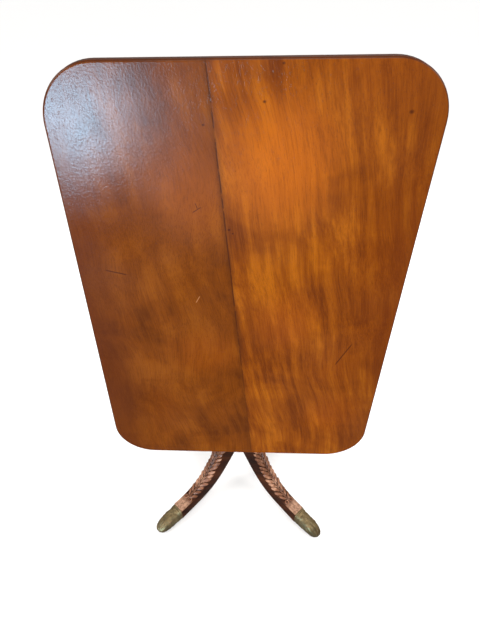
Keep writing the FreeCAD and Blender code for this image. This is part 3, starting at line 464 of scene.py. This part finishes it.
brass_finish, tree, shader, place = new_finish("old_olive_brass")
worked = use_group(tree, wear, {"Radius": 0.0018})
edge, dirt_and_shade = worked["Edge"], worked["Corner Shade"]
mottle = add_node(tree, "TexNoise", {"Vector": place, "Scale": 70.0, "Detail": 5.0}).outputs["Fac"]
broad = add_node(tree, "TexNoise", {"Vector": place, "Scale": 22.0, "Detail": 3.0}).outputs["Fac"]
colour = tint(tree, ramp(tree, broad, 0.35, 0.65), (0.120, 0.078, 0.030, 1), (0.250, 0.180, 0.085, 1))
colour = tint(tree, sums(tree, "MULTIPLY", ramp(tree, mottle, 0.45, 0.65), 0.6), colour,
              (0.090, 0.068, 0.034, 1))
hollow = add_node(tree, "NewGeometry").outputs["Pointiness"]
high_place = ramp(tree, hollow, 0.505, 0.56)
low_place = ramp(tree, hollow, 0.495, 0.44)
colour = tint(tree, sums(tree, "MULTIPLY", high_place, 0.7), colour, (0.440, 0.330, 0.165, 1))
colour = tint(tree, sums(tree, "MULTIPLY", edge, 0.4), colour, (0.430, 0.340, 0.190, 1))
# hollows, deep corners and the part near the floor darkened: painted shade; the same mask makes these places
# rougher and less metallic
shade_and_grime = sums(tree, "MAXIMUM", dirt_and_shade, low_place)
height = add_node(tree, "SeparateXYZ", {"Vector": place}).outputs["Z"]
shade_and_grime = sums(tree, "MAXIMUM", shade_and_grime, ramp(tree, height, 0.019, 0.006, 0.0, 0.85))
colour = tint(tree, sums(tree, "MULTIPLY", shade_and_grime, 0.88), colour, (0.022, 0.014, 0.006, 1))
tree.links.new(colour, shader.inputs["Base Color"])
rough = ramp(tree, mottle, 0.35, 0.65, 0.46, 0.66)
rough = sums(tree, "ADD", rough, sums(tree, "MULTIPLY", shade_and_grime, 0.3))
rough = sums(tree, "SUBTRACT", rough, sums(tree, "MULTIPLY", high_place, 0.12))
tree.links.new(rough, shader.inputs["Roughness"])
metal = sums(tree, "SUBTRACT", 0.70, sums(tree, "MULTIPLY", shade_and_grime, 0.6))
tree.links.new(metal, shader.inputs["Metallic"])
grit = add_node(tree, "TexNoise", {"Vector": place, "Scale": 900.0, "Detail": 2.0}).outputs["Fac"]
relief = sums(tree, "ADD", sums(tree, "MULTIPLY", grit, 0.5), sums(tree, "MULTIPLY", mottle, 1.0))
bump = add_node(tree, "Bump", {"Height": relief, "Strength": 0.6, "Distance": 0.0008})
tree.links.new(bump.outputs[0], shader.inputs["Normal"])

for side, azimuth in LEG_AZIMUTHS.items():
    cap = shoe.copy()
    cap.data = shoe.data.copy()
    cap.name = f"shoe_{side}"
    bpy.context.scene.collection.objects.link(cap)
    cap.data.transform(Matrix.Rotation(math.radians(azimuth), 4, "Z"))
    paint(cap, brass_finish)
    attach(cap, "base")
    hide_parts(f"toe_cap_{side}")
bpy.data.objects.remove(shoe)


# ---------------------------------------------------------------------------------------------
# The column: one turned mahogany post, dark and polished, with its tenon through the block and a
# pale wedge driven into the tenon. The drum at its foot takes the four dovetailed legs.
profile = [(0.0455, 0.1400), (0.0460, 0.1405), (0.0460, 0.1900), (0.0460, 0.2435), (0.0452, 0.2438),
           (0.0452, 0.2450), (0.0460, 0.2453)]
profile += [(0.0410 + 0.005 * math.cos(a), 0.2530 + 0.005 * math.sin(a))
            for a in (math.pi / 2 * step / 5 for step in range(6))]
profile += [(0.0302, 0.2580), (0.0300, 0.2582)]
profile += [(0.0300 + 0.0049 * math.sin(a), 0.2630 - 0.0049 * math.cos(a))
            for a in (math.pi * step / 10 for step in range(1, 10))]
profile += [(0.0300, 0.2680), (0.0252, 0.2683), (0.0250, 0.2686), (0.0250, 0.2700), (0.0246, 0.2740),
            (0.0252, 0.2778)]
profile += [(0.0250 + 0.016 * math.sin(a)**0.9, 0.3260 - 0.048 * math.cos(a))
            for a in (math.pi * step / 24 for step in range(1, 24))]
profile += [(0.0250, 0.3742)]
profile += [(0.0250 + 0.0049 * math.sin(a), 0.3790 - 0.0049 * math.cos(a))
            for a in (math.pi * step / 10 for step in range(1, 10))]
profile += [(0.0250, 0.3840), (0.0247, 0.3846), (0.0230, 0.4400), (0.0215, 0.5100), (0.0201, 0.5915),
            (0.0203, 0.5925)]
profile += [(0.0203 + 0.0047 * math.sin(a), 0.5977 - 0.0049 * math.cos(a))
            for a in (math.pi * step / 10 for step in range(1, 10))]
profile += [(0.0203, 0.6029), (0.0200, 0.6033), (0.0202, 0.6120), (0.0218, 0.6180), (0.0268, 0.6220),
            (0.0330, 0.6243), (0.0358, 0.6275), (0.0360, 0.6290), (0.0360, 0.6390), (0.0356, 0.6397),
            (0.0220, 0.6397), (0.0220, 0.6400), (0.0220, 0.6860), (0.0216, 0.6869)]
column = ring_tube(96, len(profile))
for vertex in column.data.vertices:
    radius, height = profile[round(vertex.co.z)]
    vertex.co = Vector((vertex.co.x * radius, vertex.co.y * radius, height))
close_ends(column)
bpy.ops.object.shade_smooth_by_angle(angle=math.radians(32))
column.name = "turned_column"
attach(column, "base")
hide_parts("column")
paint(column, frame_wood_finish(
    "column_mahogany", (0.050, 0.012, 0.003, 1), (0.110, 0.030, 0.007, 1), (0.185, 0.058, 0.015, 1),
    (0.0, 0.0, 0.0), 0.20, 0.34, 0.7, 0.35))
wedge_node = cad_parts["tenon_wedge"]
soften(wedge_node, 0.0003)
paint(wedge_node, frame_wood_finish(
    "wedge_mahogany", (0.130, 0.055, 0.022, 1), (0.230, 0.110, 0.048, 1), (0.330, 0.180, 0.085, 1),
    (0.0, 0.0, 0.0), 0.45, 0.6, 0.6, 0.2))

# The block: a thick square of mahogany glued and wedged on the column. Its upper front edge is
# rounded so that the top can turn about the two pins; its faces are dry, brown and unpolished.
block_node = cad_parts["tilt_block"]
soften(block_node, 0.0012, segments=3, angle=40.0)
paint(block_node, frame_wood_finish(
    "block_mahogany", (0.060, 0.022, 0.008, 1), (0.120, 0.048, 0.019, 1), (0.190, 0.085, 0.036, 1),
    (math.pi / 2, 0.0, 0.0), 0.42, 0.62, 0.7, 0.35))
for side in ("left", "right"):
    pin_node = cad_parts[f"pivot_pin_{side}"]
    soften(pin_node, 0.0005, angle=40.0)
    paint(pin_node, frame_wood_finish(
        f"pin_beech_{side}", (0.150, 0.075, 0.032, 1), (0.240, 0.130, 0.060, 1), (0.330, 0.190, 0.095, 1),
        (0.0, math.pi / 2, 0.0), 0.35, 0.5, 0.6, 0.3))


# ---------------------------------------------------------------------------------------------
# Screws: old slotted ones, each with a round head softened at its rim and a tapered shank. One of
# each size is made and copied to its places, its slot left pointing where the driver stopped.
def slotted_screw(head, head_height, shank, length):
    """A screw with the top of its head at the origin, pointing down -Z."""
    bpy.ops.object.select_all(action="DESELECT")
    bpy.ops.mesh.primitive_cylinder_add(vertices=32, radius=head, depth=head_height,
                                        location=(0, 0, -head_height / 2))
    body = bpy.context.object
    bpy.ops.object.transform_apply(location=True, rotation=True, scale=True)
    rim = body.modifiers.new("rim", "BEVEL")
    rim.width = 0.16 * head
    rim.segments = 3
    rim.limit_method = "ANGLE"
    bpy.ops.object.modifier_apply(modifier="rim")
    bpy.ops.object.select_all(action="DESELECT")
    bpy.ops.mesh.primitive_cube_add(size=1, location=(0, 0, 0))
    slot = bpy.context.object
    slot.scale = (3 * head, 0.26 * head, 0.9 * head_height)
    bpy.ops.object.transform_apply(location=False, rotation=False, scale=True)
    cut = body.modifiers.new("slot", "BOOLEAN")
    cut.operation = "DIFFERENCE"
    cut.object = slot
    bpy.context.view_layer.objects.active = body
    bpy.ops.object.modifier_apply(modifier="slot")
    bpy.data.objects.remove(slot)
    bpy.ops.object.select_all(action="DESELECT")
    bpy.ops.mesh.primitive_cone_add(vertices=16, radius1=0.35 * shank, radius2=shank,
                                    depth=length - head_height,
                                    location=(0, 0, -(length + head_height) / 2))
    stem = bpy.context.object
    bpy.ops.object.transform_apply(location=True, rotation=True, scale=True)
    body.select_set(True)
    bpy.context.view_layer.objects.active = body
    bpy.ops.object.join()
    bpy.ops.object.shade_smooth_by_angle(angle=math.radians(35))
    return body


def set_screws(name, pattern, places, node_name, owner, finish):
    """Copies of one screw joined into a piece: each place is a head's top and its outward normal."""
    copies = []
    for count, (point, outward) in enumerate(places):
        one = pattern.copy()
        one.data = pattern.data.copy()
        bpy.context.scene.collection.objects.link(one)
        turn = Matrix.Rotation(0.6 + 1.9 * count, 4, "Z")
        aim = Vector(outward).to_track_quat("Z", "Y").to_matrix().to_4x4()
        one.data.transform(Matrix.Translation(point) @ aim @ turn)
        copies.append(one)
    bpy.ops.object.select_all(action="DESELECT")
    for one in copies:
        one.select_set(True)
    bpy.context.view_layer.objects.active = copies[0]
    bpy.ops.object.join()
    made = bpy.context.object
    made.name = name
    paint(made, finish)
    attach(made, owner)
    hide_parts(node_name)


def metal_finish(name, base, patch, edge_wear_and_highlight, dark, rough_low, rough_high, metallic, scale=80.0):
    """Old worked metal: mottled colour, bright edges, corners darkened as painted shade, and fine pitting."""
    finish, tree, shader, place = new_finish(name)
    worked = use_group(tree, wear, {"Radius": 0.0012})
    edge, dirt_and_shade = worked["Edge"], worked["Corner Shade"]
    mottle = add_node(tree, "TexNoise", {"Vector": place, "Scale": scale, "Detail": 6.0, "Roughness": 0.6})
    mottle = mottle.outputs["Fac"]
    broad = add_node(tree, "TexNoise", {"Vector": place, "Scale": scale * 0.35, "Detail": 3.0}).outputs["Fac"]
    colour = tint(tree, ramp(tree, broad, 0.35, 0.65), base, patch)
    colour = tint(tree, sums(tree, "MULTIPLY", ramp(tree, mottle, 0.52, 0.68), 0.5), colour, dark)
    colour = tint(tree, sums(tree, "MULTIPLY", edge, 0.6), colour, edge_wear_and_highlight)
    # deep corners darkened by the occlusion mask: painted shade
    colour = tint(tree, sums(tree, "MULTIPLY", dirt_and_shade, 0.75), colour, dark)
    tree.links.new(colour, shader.inputs["Base Color"])
    rough = ramp(tree, mottle, 0.35, 0.7, rough_low, rough_high)
    tree.links.new(sums(tree, "ADD", rough, sums(tree, "MULTIPLY", dirt_and_shade, 0.25)), shader.inputs["Roughness"])
    tree.links.new(sums(tree, "SUBTRACT", metallic, sums(tree, "MULTIPLY", dirt_and_shade, 0.5 * metallic)),
                   shader.inputs["Metallic"])
    pits = add_node(tree, "TexNoise", {"Vector": place, "Scale": scale * 9, "Detail": 3.0}).outputs["Fac"]
    relief = sums(tree, "ADD", sums(tree, "MULTIPLY", pits, 0.5), mottle)
    bump = add_node(tree, "Bump", {"Height": relief, "Strength": 0.3, "Distance": 0.0003})
    tree.links.new(bump.outputs[0], shader.inputs["Normal"])
    return finish


yellow_brass = metal_finish("worn_yellow_brass", (0.330, 0.200, 0.060, 1), (0.260, 0.165, 0.060, 1),
                            (0.640, 0.460, 0.190, 1), (0.060, 0.036, 0.014, 1), 0.26, 0.44, 0.95)
black_iron = metal_finish("forged_black_iron", (0.030, 0.027, 0.025, 1), (0.062, 0.045, 0.034, 1),
                          (0.160, 0.145, 0.130, 1), (0.075, 0.030, 0.012, 1), 0.42, 0.66, 0.7)
spring_steel = metal_finish("blued_spring_steel", (0.180, 0.180, 0.190, 1), (0.120, 0.120, 0.135, 1),
                            (0.420, 0.420, 0.430, 1), (0.060, 0.040, 0.028, 1), 0.25, 0.40, 0.95)
small_screw = slotted_screw(0.0030, 0.0016, 0.0015, 0.013)
wood_screw = slotted_screw(0.0040, 0.0024, 0.0020, 0.028)

# ---------------------------------------------------------------------------------------------
# Under the caps and the column: a screw up through each brass cap, and a forged iron brace whose
# four arms are screwed to the heels of the legs.
CAP_SCREW_R, CAP_SCREW_Z = 0.282, 0.0004
cap_places = []
for azimuth in LEG_AZIMUTHS.values():
    angle = math.radians(azimuth)
    point = (CAP_SCREW_R * math.cos(angle), CAP_SCREW_R * math.sin(angle), CAP_SCREW_Z)
    cap_places.append((point, (0, 0, -1)))
set_screws("cap_screws_slotted", small_screw, cap_places, "toe_cap_screws", "base",
           yellow_brass)

brace_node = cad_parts["brace_plate"]
soften(brace_node, 0.0006)
paint(brace_node, black_iron)
HEEL_SLOPE, HEEL_R, HEEL_Z = math.radians(48.6), 0.030, 0.140
ARM_TO_SCREW, BRACE_THICKNESS = 0.026, 0.003
brace_out = Vector((-math.sin(HEEL_SLOPE), 0, -math.cos(HEEL_SLOPE)))
along_arm = Vector((math.cos(HEEL_SLOPE), 0, -math.sin(HEEL_SLOPE)))
arm_point = Vector((HEEL_R, 0, HEEL_Z)) + along_arm * ARM_TO_SCREW + brace_out * BRACE_THICKNESS
brace_places = [((0, 0, HEEL_Z - BRACE_THICKNESS), (0, 0, -1))]
for azimuth in LEG_AZIMUTHS.values():
    turn = Matrix.Rotation(math.radians(azimuth), 3, "Z")
    brace_places.append((tuple(turn @ arm_point), tuple(turn @ brace_out)))
set_screws("brace_screws_slotted", small_screw, brace_places, "brace_screws", "base",
           black_iron)

# The keeper: a brass plate let into the back of the block, which the catch's bolt snaps through.
keeper_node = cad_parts["catch_keeper"]
soften(keeper_node, 0.0003)
paint(keeper_node, yellow_brass)
keeper_low, keeper_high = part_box("catch_keeper")
keeper_z = (keeper_low[2] + keeper_high[2]) / 2
KEEPER_SCREW_X, KEEPER_FACE_Y = 0.013, 0.105
keeper_places = [((x, KEEPER_FACE_Y, keeper_z), (0, 1, 0)) for x in (-KEEPER_SCREW_X, KEEPER_SCREW_X)]
set_screws("keeper_screws_slotted", small_screw, keeper_places, "keeper_screws", "base",
           yellow_brass)


# ---------------------------------------------------------------------------------------------
# The top: two wide mahogany boards, glued along a leaning seam, with a rounded front edge and an
# old shellac polish. The left board is cloudy and redder, the right one straight and golden.
top_low, top_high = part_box("top_board_left")[0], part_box("top_board_right")[1]
SEAM_UPPER_X, SEAM_LOWER_X = -0.058, 0.037
seam_lean = (SEAM_UPPER_X - SEAM_LOWER_X) / (top_high[2] - top_low[2])


def spot_mask(tree, across, up, x, z, radius_x, radius_z):
    """1 in the middle of a soft oval patch on the face, 0 outside it."""
    dx = sums(tree, "DIVIDE", sums(tree, "SUBTRACT", across, x), radius_x)
    dz = sums(tree, "DIVIDE", sums(tree, "SUBTRACT", up, z), radius_z)
    reach = sums(tree, "SQRT", sums(tree, "ADD", sums(tree, "POWER", dx, 2.0), sums(tree, "POWER", dz, 2.0)))
    return ramp(tree, reach, 1.0, 0.15)


def scratch_mask(tree, across, up, start, end, width):
    """1 on a straight scratch between two (x, z) points, 0 away from it."""
    run = Vector(end) - Vector(start)
    length = run.length
    run.normalize()
    dx, dz = sums(tree, "SUBTRACT", across, start[0]), sums(tree, "SUBTRACT", up, start[1])
    along = sums(tree, "ADD", sums(tree, "MULTIPLY", dx, run.x), sums(tree, "MULTIPLY", dz, run.y))
    off = sums(tree, "SUBTRACT", sums(tree, "MULTIPLY", dx, run.y), sums(tree, "MULTIPLY", dz, run.x))
    inside = sums(tree, "MULTIPLY", ramp(tree, along, 0.0, 0.15 * length),
                  ramp(tree, along, length, 0.85 * length))
    return sums(tree, "MULTIPLY", inside, ramp(tree, sums(tree, "ABSOLUTE", off), width, 0.2 * width))


def top_finish(name, deep, middle, light, lean_share, ribbon_scale, ribbon_stretch, warp, ribbon_share,
               patches):
    """Polished face of one board: figure, fibres, pores, seam, marks and an uneven polish."""
    finish, tree, shader, place = new_finish(name)
    parts = add_node(tree, "SeparateXYZ", {"Vector": place}).outputs
    across, up = parts["X"], parts["Z"]
    lean = sums(tree, "MULTIPLY", sums(tree, "SUBTRACT", up, top_low[2]), -seam_lean * lean_share)
    straight = add_node(tree, "CombineXYZ", {"X": sums(tree, "ADD", across, lean), "Y": parts["Y"], "Z": up})
    grain = use_group(tree, wood_grain, {"Vector": straight.outputs[0], "Ribbon Scale": ribbon_scale,
                                         "Ribbon Stretch": ribbon_stretch, "Warp": warp})
    figure = sums(tree, "ADD", sums(tree, "MULTIPLY", grain["Ribbon"], ribbon_share),
                  sums(tree, "MULTIPLY", grain["Cloud"], 1 - ribbon_share))
    colour = tint(tree, ramp(tree, figure, 0.0, 0.55), deep, middle)
    colour = tint(tree, ramp(tree, figure, 0.45, 1.0), colour, light)
    for x, z, radius_x, radius_z, strength, tone in patches:
        mask = sums(tree, "MULTIPLY", spot_mask(tree, across, up, x, z, radius_x, radius_z), strength)
        colour = tint(tree, mask, colour, tone)
    colour = tint(tree, sums(tree, "MULTIPLY", ramp(tree, grain["Fibre"], 0.60, 0.0), 0.30), colour,
                  tuple(0.55 * part for part in deep[:3]) + (1,))
    colour = tint(tree, sums(tree, "MULTIPLY", ramp(tree, grain["Fibre"], 0.55, 1.0), 0.16), colour, light)
    colour = tint(tree, sums(tree, "MULTIPLY", grain["Pores"], 0.42), colour, (0.035, 0.010, 0.003, 1))

    # the glue line, with dirt smudged along its lower part
    wander = add_node(tree, "TexNoise", {"Vector": place, "Scale": 9.0, "Detail": 2.0}).outputs["Fac"]
    line_x = sums(tree, "ADD", sums(tree, "MULTIPLY", sums(tree, "SUBTRACT", up, top_low[2]), seam_lean),
                  SEAM_LOWER_X)
    line_x = sums(tree, "ADD", line_x, sums(tree, "MULTIPLY", sums(tree, "SUBTRACT", wander, 0.5), 0.003))
    from_line = sums(tree, "ABSOLUTE", sums(tree, "SUBTRACT", across, line_x))
    thread = sums(tree, "MULTIPLY", ramp(tree, from_line, 0.0024, 0.0008),
                  ramp(tree, up, 0.35, 0.75, 0.45, 0.95))
    gaps = add_node(tree, "TexNoise", {"Vector": place, "Scale": 60.0, "Detail": 3.0}).outputs["Fac"]
    thread = sums(tree, "MULTIPLY", thread, ramp(tree, gaps, 0.30, 0.48, 0.45, 1.0))
    smudge_run = spot_mask(tree, across, up, 0.004, 0.70, 0.05, 0.13)
    smudge = sums(tree, "MULTIPLY", ramp(tree, from_line, 0.012, 0.001),
                  sums(tree, "MULTIPLY", smudge_run, 0.6))
    halo = sums(tree, "MULTIPLY", ramp(tree, from_line, 0.012, 0.001), ramp(tree, up, 0.5, 1.1, 0.2, 0.4))
    dirt_and_shade = sums(tree, "MAXIMUM", sums(tree, "MAXIMUM", thread, smudge), halo)
    colour = tint(tree, dirt_and_shade, colour, (0.060, 0.014, 0.002, 1))

    # small dark bruises and old scratches
    bruises = None
    for x, z, radius in ((0.0364, 1.1856, 0.0045), (0.2764, 1.1681, 0.0065), (-0.0656, 1.1496, 0.004),
                         (0.0643, 1.2418, 0.004), (-0.0231, 0.953, 0.0045), (-0.016, 0.945, 0.003)):
        mask = spot_mask(tree, across, up, x, z, radius, 0.8 * radius)
        bruises = mask if bruises is None else sums(tree, "MAXIMUM", bruises, mask)
    for start, end, width in (((-0.093, 0.9886), (-0.0744, 1.0009), 0.0014),
                              ((-0.0863, 1.0089), (-0.082, 0.9965), 0.0012),
                              ((-0.2837, 0.8597), (-0.2349, 0.8477), 0.0022),
                              ((0.224, 0.5947), (0.2575, 0.6678), 0.0022)):
        bruises = sums(tree, "MAXIMUM", bruises, scratch_mask(tree, across, up, start, end, width))
    colour = tint(tree, sums(tree, "MULTIPLY", bruises, 0.75), colour, (0.030, 0.006, 0.002, 1))
    nick = scratch_mask(tree, across, up, (-0.0959, 0.7767), (-0.0863, 0.7955), 0.0016)
    colour = tint(tree, sums(tree, "MULTIPLY", nick, 0.5), colour, (0.48, 0.22, 0.08, 1))

    to_side = ramp(tree, sums(tree, "ABSOLUTE", across), 0.20, 0.345)
    colour = tint(tree, sums(tree, "MULTIPLY", to_side, 0.38), colour, (0.095, 0.018, 0.001, 1))

    # the arris and the edges are darkened as painted shade; the underside was only stained, never polished
    edge_shade = ramp(tree, parts["Y"], top_low[1] + 0.00002, top_low[1] + 0.0006)
    colour = tint(tree, sums(tree, "MULTIPLY", edge_shade, 0.80), colour, (0.048, 0.011, 0.003, 1))
    underside = ramp(tree, parts["Y"], top_high[1] - 0.0030, top_high[1] - 0.0008)
    dry = tint(tree, ramp(tree, figure, 0.2, 0.9), (0.120, 0.060, 0.028, 1), (0.175, 0.092, 0.045, 1))
    dry = tint(tree, sums(tree, "MULTIPLY", ramp(tree, grain["Fibre"], 0.6, 0.1), 0.5), dry,
               (0.050, 0.024, 0.011, 1))
    colour = tint(tree, underside, colour, dry)
    tree.links.new(colour, shader.inputs["Base Color"])

    # polish: slightly rippled, open-pored and worn unevenly
    wear = add_node(tree, "TexNoise", {"Vector": place, "Scale": 5.0, "Detail": 5.0}).outputs["Fac"]
    rough = ramp(tree, wear, 0.3, 0.7, 0.17, 0.27)
    rough = sums(tree, "ADD", rough, sums(tree, "MULTIPLY", underside, 0.35))
    tree.links.new(rough, shader.inputs["Roughness"])
    shader.inputs["Specular IOR Level"].default_value = 0.17
    peel = add_node(tree, "TexNoise", {"Vector": place, "Scale": 280.0, "Detail": 3.0}).outputs["Fac"]
    ripple = add_node(tree, "TexNoise", {"Vector": place, "Scale": 14.0, "Detail": 1.0}).outputs["Fac"]
    relief = sums(tree, "ADD", sums(tree, "MULTIPLY", peel, 0.95), sums(tree, "MULTIPLY", ripple, 2.2))
    relief = sums(tree, "SUBTRACT", relief, sums(tree, "MULTIPLY", grain["Pores"], 0.35))
    sunk = sums(tree, "MAXIMUM", bruises, thread)
    relief = sums(tree, "SUBTRACT", relief, sums(tree, "MULTIPLY", sunk, 0.25))
    bump = add_node(tree, "Bump", {"Height": relief, "Strength": 0.30, "Distance": 0.0006})
    tree.links.new(bump.outputs[0], shader.inputs["Normal"])
    return finish


cloudy_board = top_finish(
    "cloudy_mahogany", (0.090, 0.020, 0.001, 1), (0.145, 0.034, 0.001, 1), (0.205, 0.054, 0.002, 1),
    lean_share=1.0, ribbon_scale=34.0, ribbon_stretch=0.14, warp=0.09, ribbon_share=0.42,
    patches=((-0.38, 0.80, 0.17, 0.55, 0.70, (0.090, 0.019, 0.003, 1)),
             (-0.34, 0.42, 0.15, 0.36, 0.65, (0.085, 0.017, 0.001, 1)),
             (-0.09, 1.03, 0.13, 0.16, 0.50, (0.270, 0.064, 0.003, 1)),
             (-0.20, 0.95, 0.13, 0.06, 0.55, (0.130, 0.030, 0.002, 1)),
             (-0.08, 0.63, 0.12, 0.10, 0.50, (0.225, 0.050, 0.001, 1)),
             (-0.19, 0.42, 0.07, 0.16, 0.45, (0.120, 0.024, 0.001, 1))))
golden_board = top_finish(
    "golden_mahogany", (0.120, 0.024, 0.001, 1), (0.205, 0.048, 0.001, 1), (0.320, 0.088, 0.002, 1),
    lean_share=2.1, ribbon_scale=56.0, ribbon_stretch=0.075, warp=0.06, ribbon_share=0.58,
    patches=((0.07, 1.08, 0.14, 0.17, 0.70, (0.450, 0.110, 0.002, 1)),
             (0.37, 0.85, 0.18, 0.42, 0.70, (0.140, 0.026, 0.001, 1)),
             (0.28, 1.24, 0.24, 0.12, 0.55, (0.190, 0.042, 0.001, 1)),
             (0.10, 0.72, 0.10, 0.12, 0.45, (0.275, 0.058, 0.001, 1)),
             (0.22, 0.60, 0.09, 0.10, 0.50, (0.160, 0.032, 0.001, 1)),
             (0.24, 0.42, 0.10, 0.10, 0.45, (0.275, 0.060, 0.001, 1))))
for node_name, finish in (("top_board_left", cloudy_board), ("top_board_right", golden_board)):
    paint(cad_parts[node_name], finish)


# ---------------------------------------------------------------------------------------------
# The bearers: two mahogany rails screwed under the top from inside deep holes. Each is deep in
# the middle, where the pivot pin enters it, and thins towards its ends. Dry and unpolished.
for side in ("left", "right"):
    bearer_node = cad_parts[f"bearer_{side}"]
    soften(bearer_node, 0.0016, segments=3, angle=28.0)
    paint(bearer_node, frame_wood_finish(
        f"bearer_mahogany_{side}", (0.062, 0.023, 0.009, 1), (0.125, 0.052, 0.021, 1),
        (0.200, 0.092, 0.040, 1), (0.0, 0.0, 0.0), 0.42, 0.6, 0.75, 0.4))
BEARER_X, BEARER_SCREW_Y, BEARER_SCREW_HEIGHTS = 0.1235, -0.0893, (0.3693, 0.606, 0.726, 1.1293)
bearer_places = []
for x in (-BEARER_X, BEARER_X):
    for height in BEARER_SCREW_HEIGHTS:
        bearer_places.append(((x, BEARER_SCREW_Y, height), (0, 1, 0)))
set_screws("bearer_screws_slotted", wood_screw, bearer_places, "bearer_screws", "top",
           black_iron)

# The catch: a cast brass box on a flange, with a sprung bevelled bolt drawn back by a small knob.
for node_name, width in (("catch_case", 0.0006), ("catch_bolt", 0.0004), ("catch_knob", 0.0004)):
    catch_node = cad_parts[node_name]
    soften(catch_node, width, angle=40.0)
    paint(catch_node, yellow_brass)

# the bolt's coil spring of fine steel wire, pushed together against the case when the bolt is drawn
SPRING_FOOT, SPRING_END, SPRING_Y, SPRING_R, WIRE_R, TURNS = 0.8862, 0.9053, -0.0973, 0.0025, 0.0004, 7
bpy.ops.object.select_all(action="DESELECT")
bpy.ops.mesh.primitive_circle_add(vertices=8, radius=WIRE_R, fill_type="NOTHING",
                                  rotation=(math.pi / 2, 0, 0), location=(SPRING_R, 0, 0))
spring = bpy.context.object
bpy.ops.object.transform_apply(location=True, rotation=True, scale=True)
coil = spring.modifiers.new("coil", "SCREW")
coil.axis = "Z"
coil.iterations = TURNS
coil.screw_offset = (SPRING_END - SPRING_FOOT - 2 * WIRE_R) / TURNS
coil.steps = 20
coil.render_steps = 20
bpy.ops.object.modifier_apply(modifier="coil")
spring.data.transform(Matrix.Translation((0, SPRING_Y, SPRING_FOOT + WIRE_R)))
close_ends(spring)
bpy.ops.object.shade_smooth()
spring.name = "steel_spring"
paint(spring, spring_steel)
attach(spring, "top")
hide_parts("catch_spring")
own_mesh(spring)
CATCH_SCREW_X, CATCH_SCREW_Y, CATCH_SCREW_HEIGHTS = 0.0295, -0.1033, (0.8693, 0.9013)
catch_places = []
for x in (-CATCH_SCREW_X, CATCH_SCREW_X):
    for height in CATCH_SCREW_HEIGHTS:
        catch_places.append(((x, CATCH_SCREW_Y, height), (0, 1, 0)))
set_screws("catch_screws_slotted", small_screw, catch_places, "catch_screws", "top",
           yellow_brass)
bpy.data.objects.remove(small_screw)
bpy.data.objects.remove(wood_screw)


# ---------------------------------------------------------------------------------------------
# Studio: a pale floor and soft panels in front, at the sides and behind. The back panel keeps out of
# reflections; the floor gleam and the window, which lies in the polished top's upper left corner,
# show only in them.
for name, place, aim, size, power, colour, lights_matt in (
        ("sky_panel", (0.15, -1.7, 3.0), (0, -0.1, 1.0), 1.8, 32, (1.0, 0.985, 0.96), True),
        ("side_panel_left", (-2.3, -0.7, 2.3), (-0.1, -0.1, 0.1), 1.3, 42, (1.0, 0.97, 0.95), True),
        ("side_panel_right", (2.3, -0.7, 2.3), (0.1, -0.1, 0.1), 1.3, 34, (1.0, 0.97, 0.95), True),
        ("back_panel", (0.9, 2.3, 1.5), (0.0, 0.0, 0.7), 1.5, 20, (1.0, 0.985, 0.96), True),
        ("floor_gleam", (0.0, -2.62, 0.02), (0.0, -2.62, 2.0), 1.15, 4.6, (1.0, 0.92, 0.82), False),
        ("window_panel", (-1.10, -2.5, 0.52), (-0.28, -0.127, 1.16), 0.42, 92, (0.42, 0.74, 1.0), False)):
    lamp = bpy.data.lights.new(name, "AREA")
    lamp.shape = "SQUARE"
    lamp.size = size
    lamp.energy = power
    lamp.color = colour
    holder = bpy.data.objects.new(name, lamp)
    bpy.context.scene.collection.objects.link(holder)
    holder.location = place
    holder.visible_diffuse = lights_matt
    holder.visible_glossy = name != "back_panel"
    holder.rotation_euler = (Vector(aim) - Vector(place)).to_track_quat("-Z", "Y").to_euler()

room = bpy.data.worlds.new("soft_room")
room.use_nodes = True
backdrop = room.node_tree.nodes["Background"]
backdrop.inputs["Color"].default_value = (1.0, 0.995, 0.985, 1)
rays = add_node(room.node_tree, "LightPath").outputs["Is Glossy Ray"]
strength = add_node(room.node_tree, "MapRange", {"Value": rays, "To Min": 1.06, "To Max": 0.20})
room.node_tree.links.new(strength.outputs["Result"], backdrop.inputs["Strength"])
bpy.context.scene.world = room
bpy.context.scene.view_settings.view_transform = "Standard"

bpy.ops.object.select_all(action="DESELECT")
bpy.ops.mesh.primitive_plane_add(size=60, location=(0, 0, -0.0005))
floor = bpy.context.object
floor.name = "studio_floor"
floor.visible_glossy = False
floor_paint, _, shader, _ = new_finish("studio_floor")
shader.inputs["Base Color"].default_value = (0.97, 0.97, 0.97, 1)
shader.inputs["Roughness"].default_value = 0.9
shader.inputs["Specular IOR Level"].default_value = 0.1
floor.data.materials.append(floor_paint)

camera = bpy.data.objects.new("camera", bpy.data.cameras.new("camera"))
bpy.context.scene.collection.objects.link(camera)
camera.data.lens = 27.06
camera.data.sensor_width = 36
camera.data.shift_x = 0.0314
camera.location = (0.0021, -0.9641, 1.3956)
turn = (Matrix.Rotation(math.radians(3.206), 3, "Z")
        @ Matrix.Rotation(math.radians(90 - 38.442), 3, "X")
        @ Matrix.Rotation(math.radians(-1.344), 3, "Z"))
camera.rotation_euler = turn.to_euler()
bpy.context.scene.camera = camera
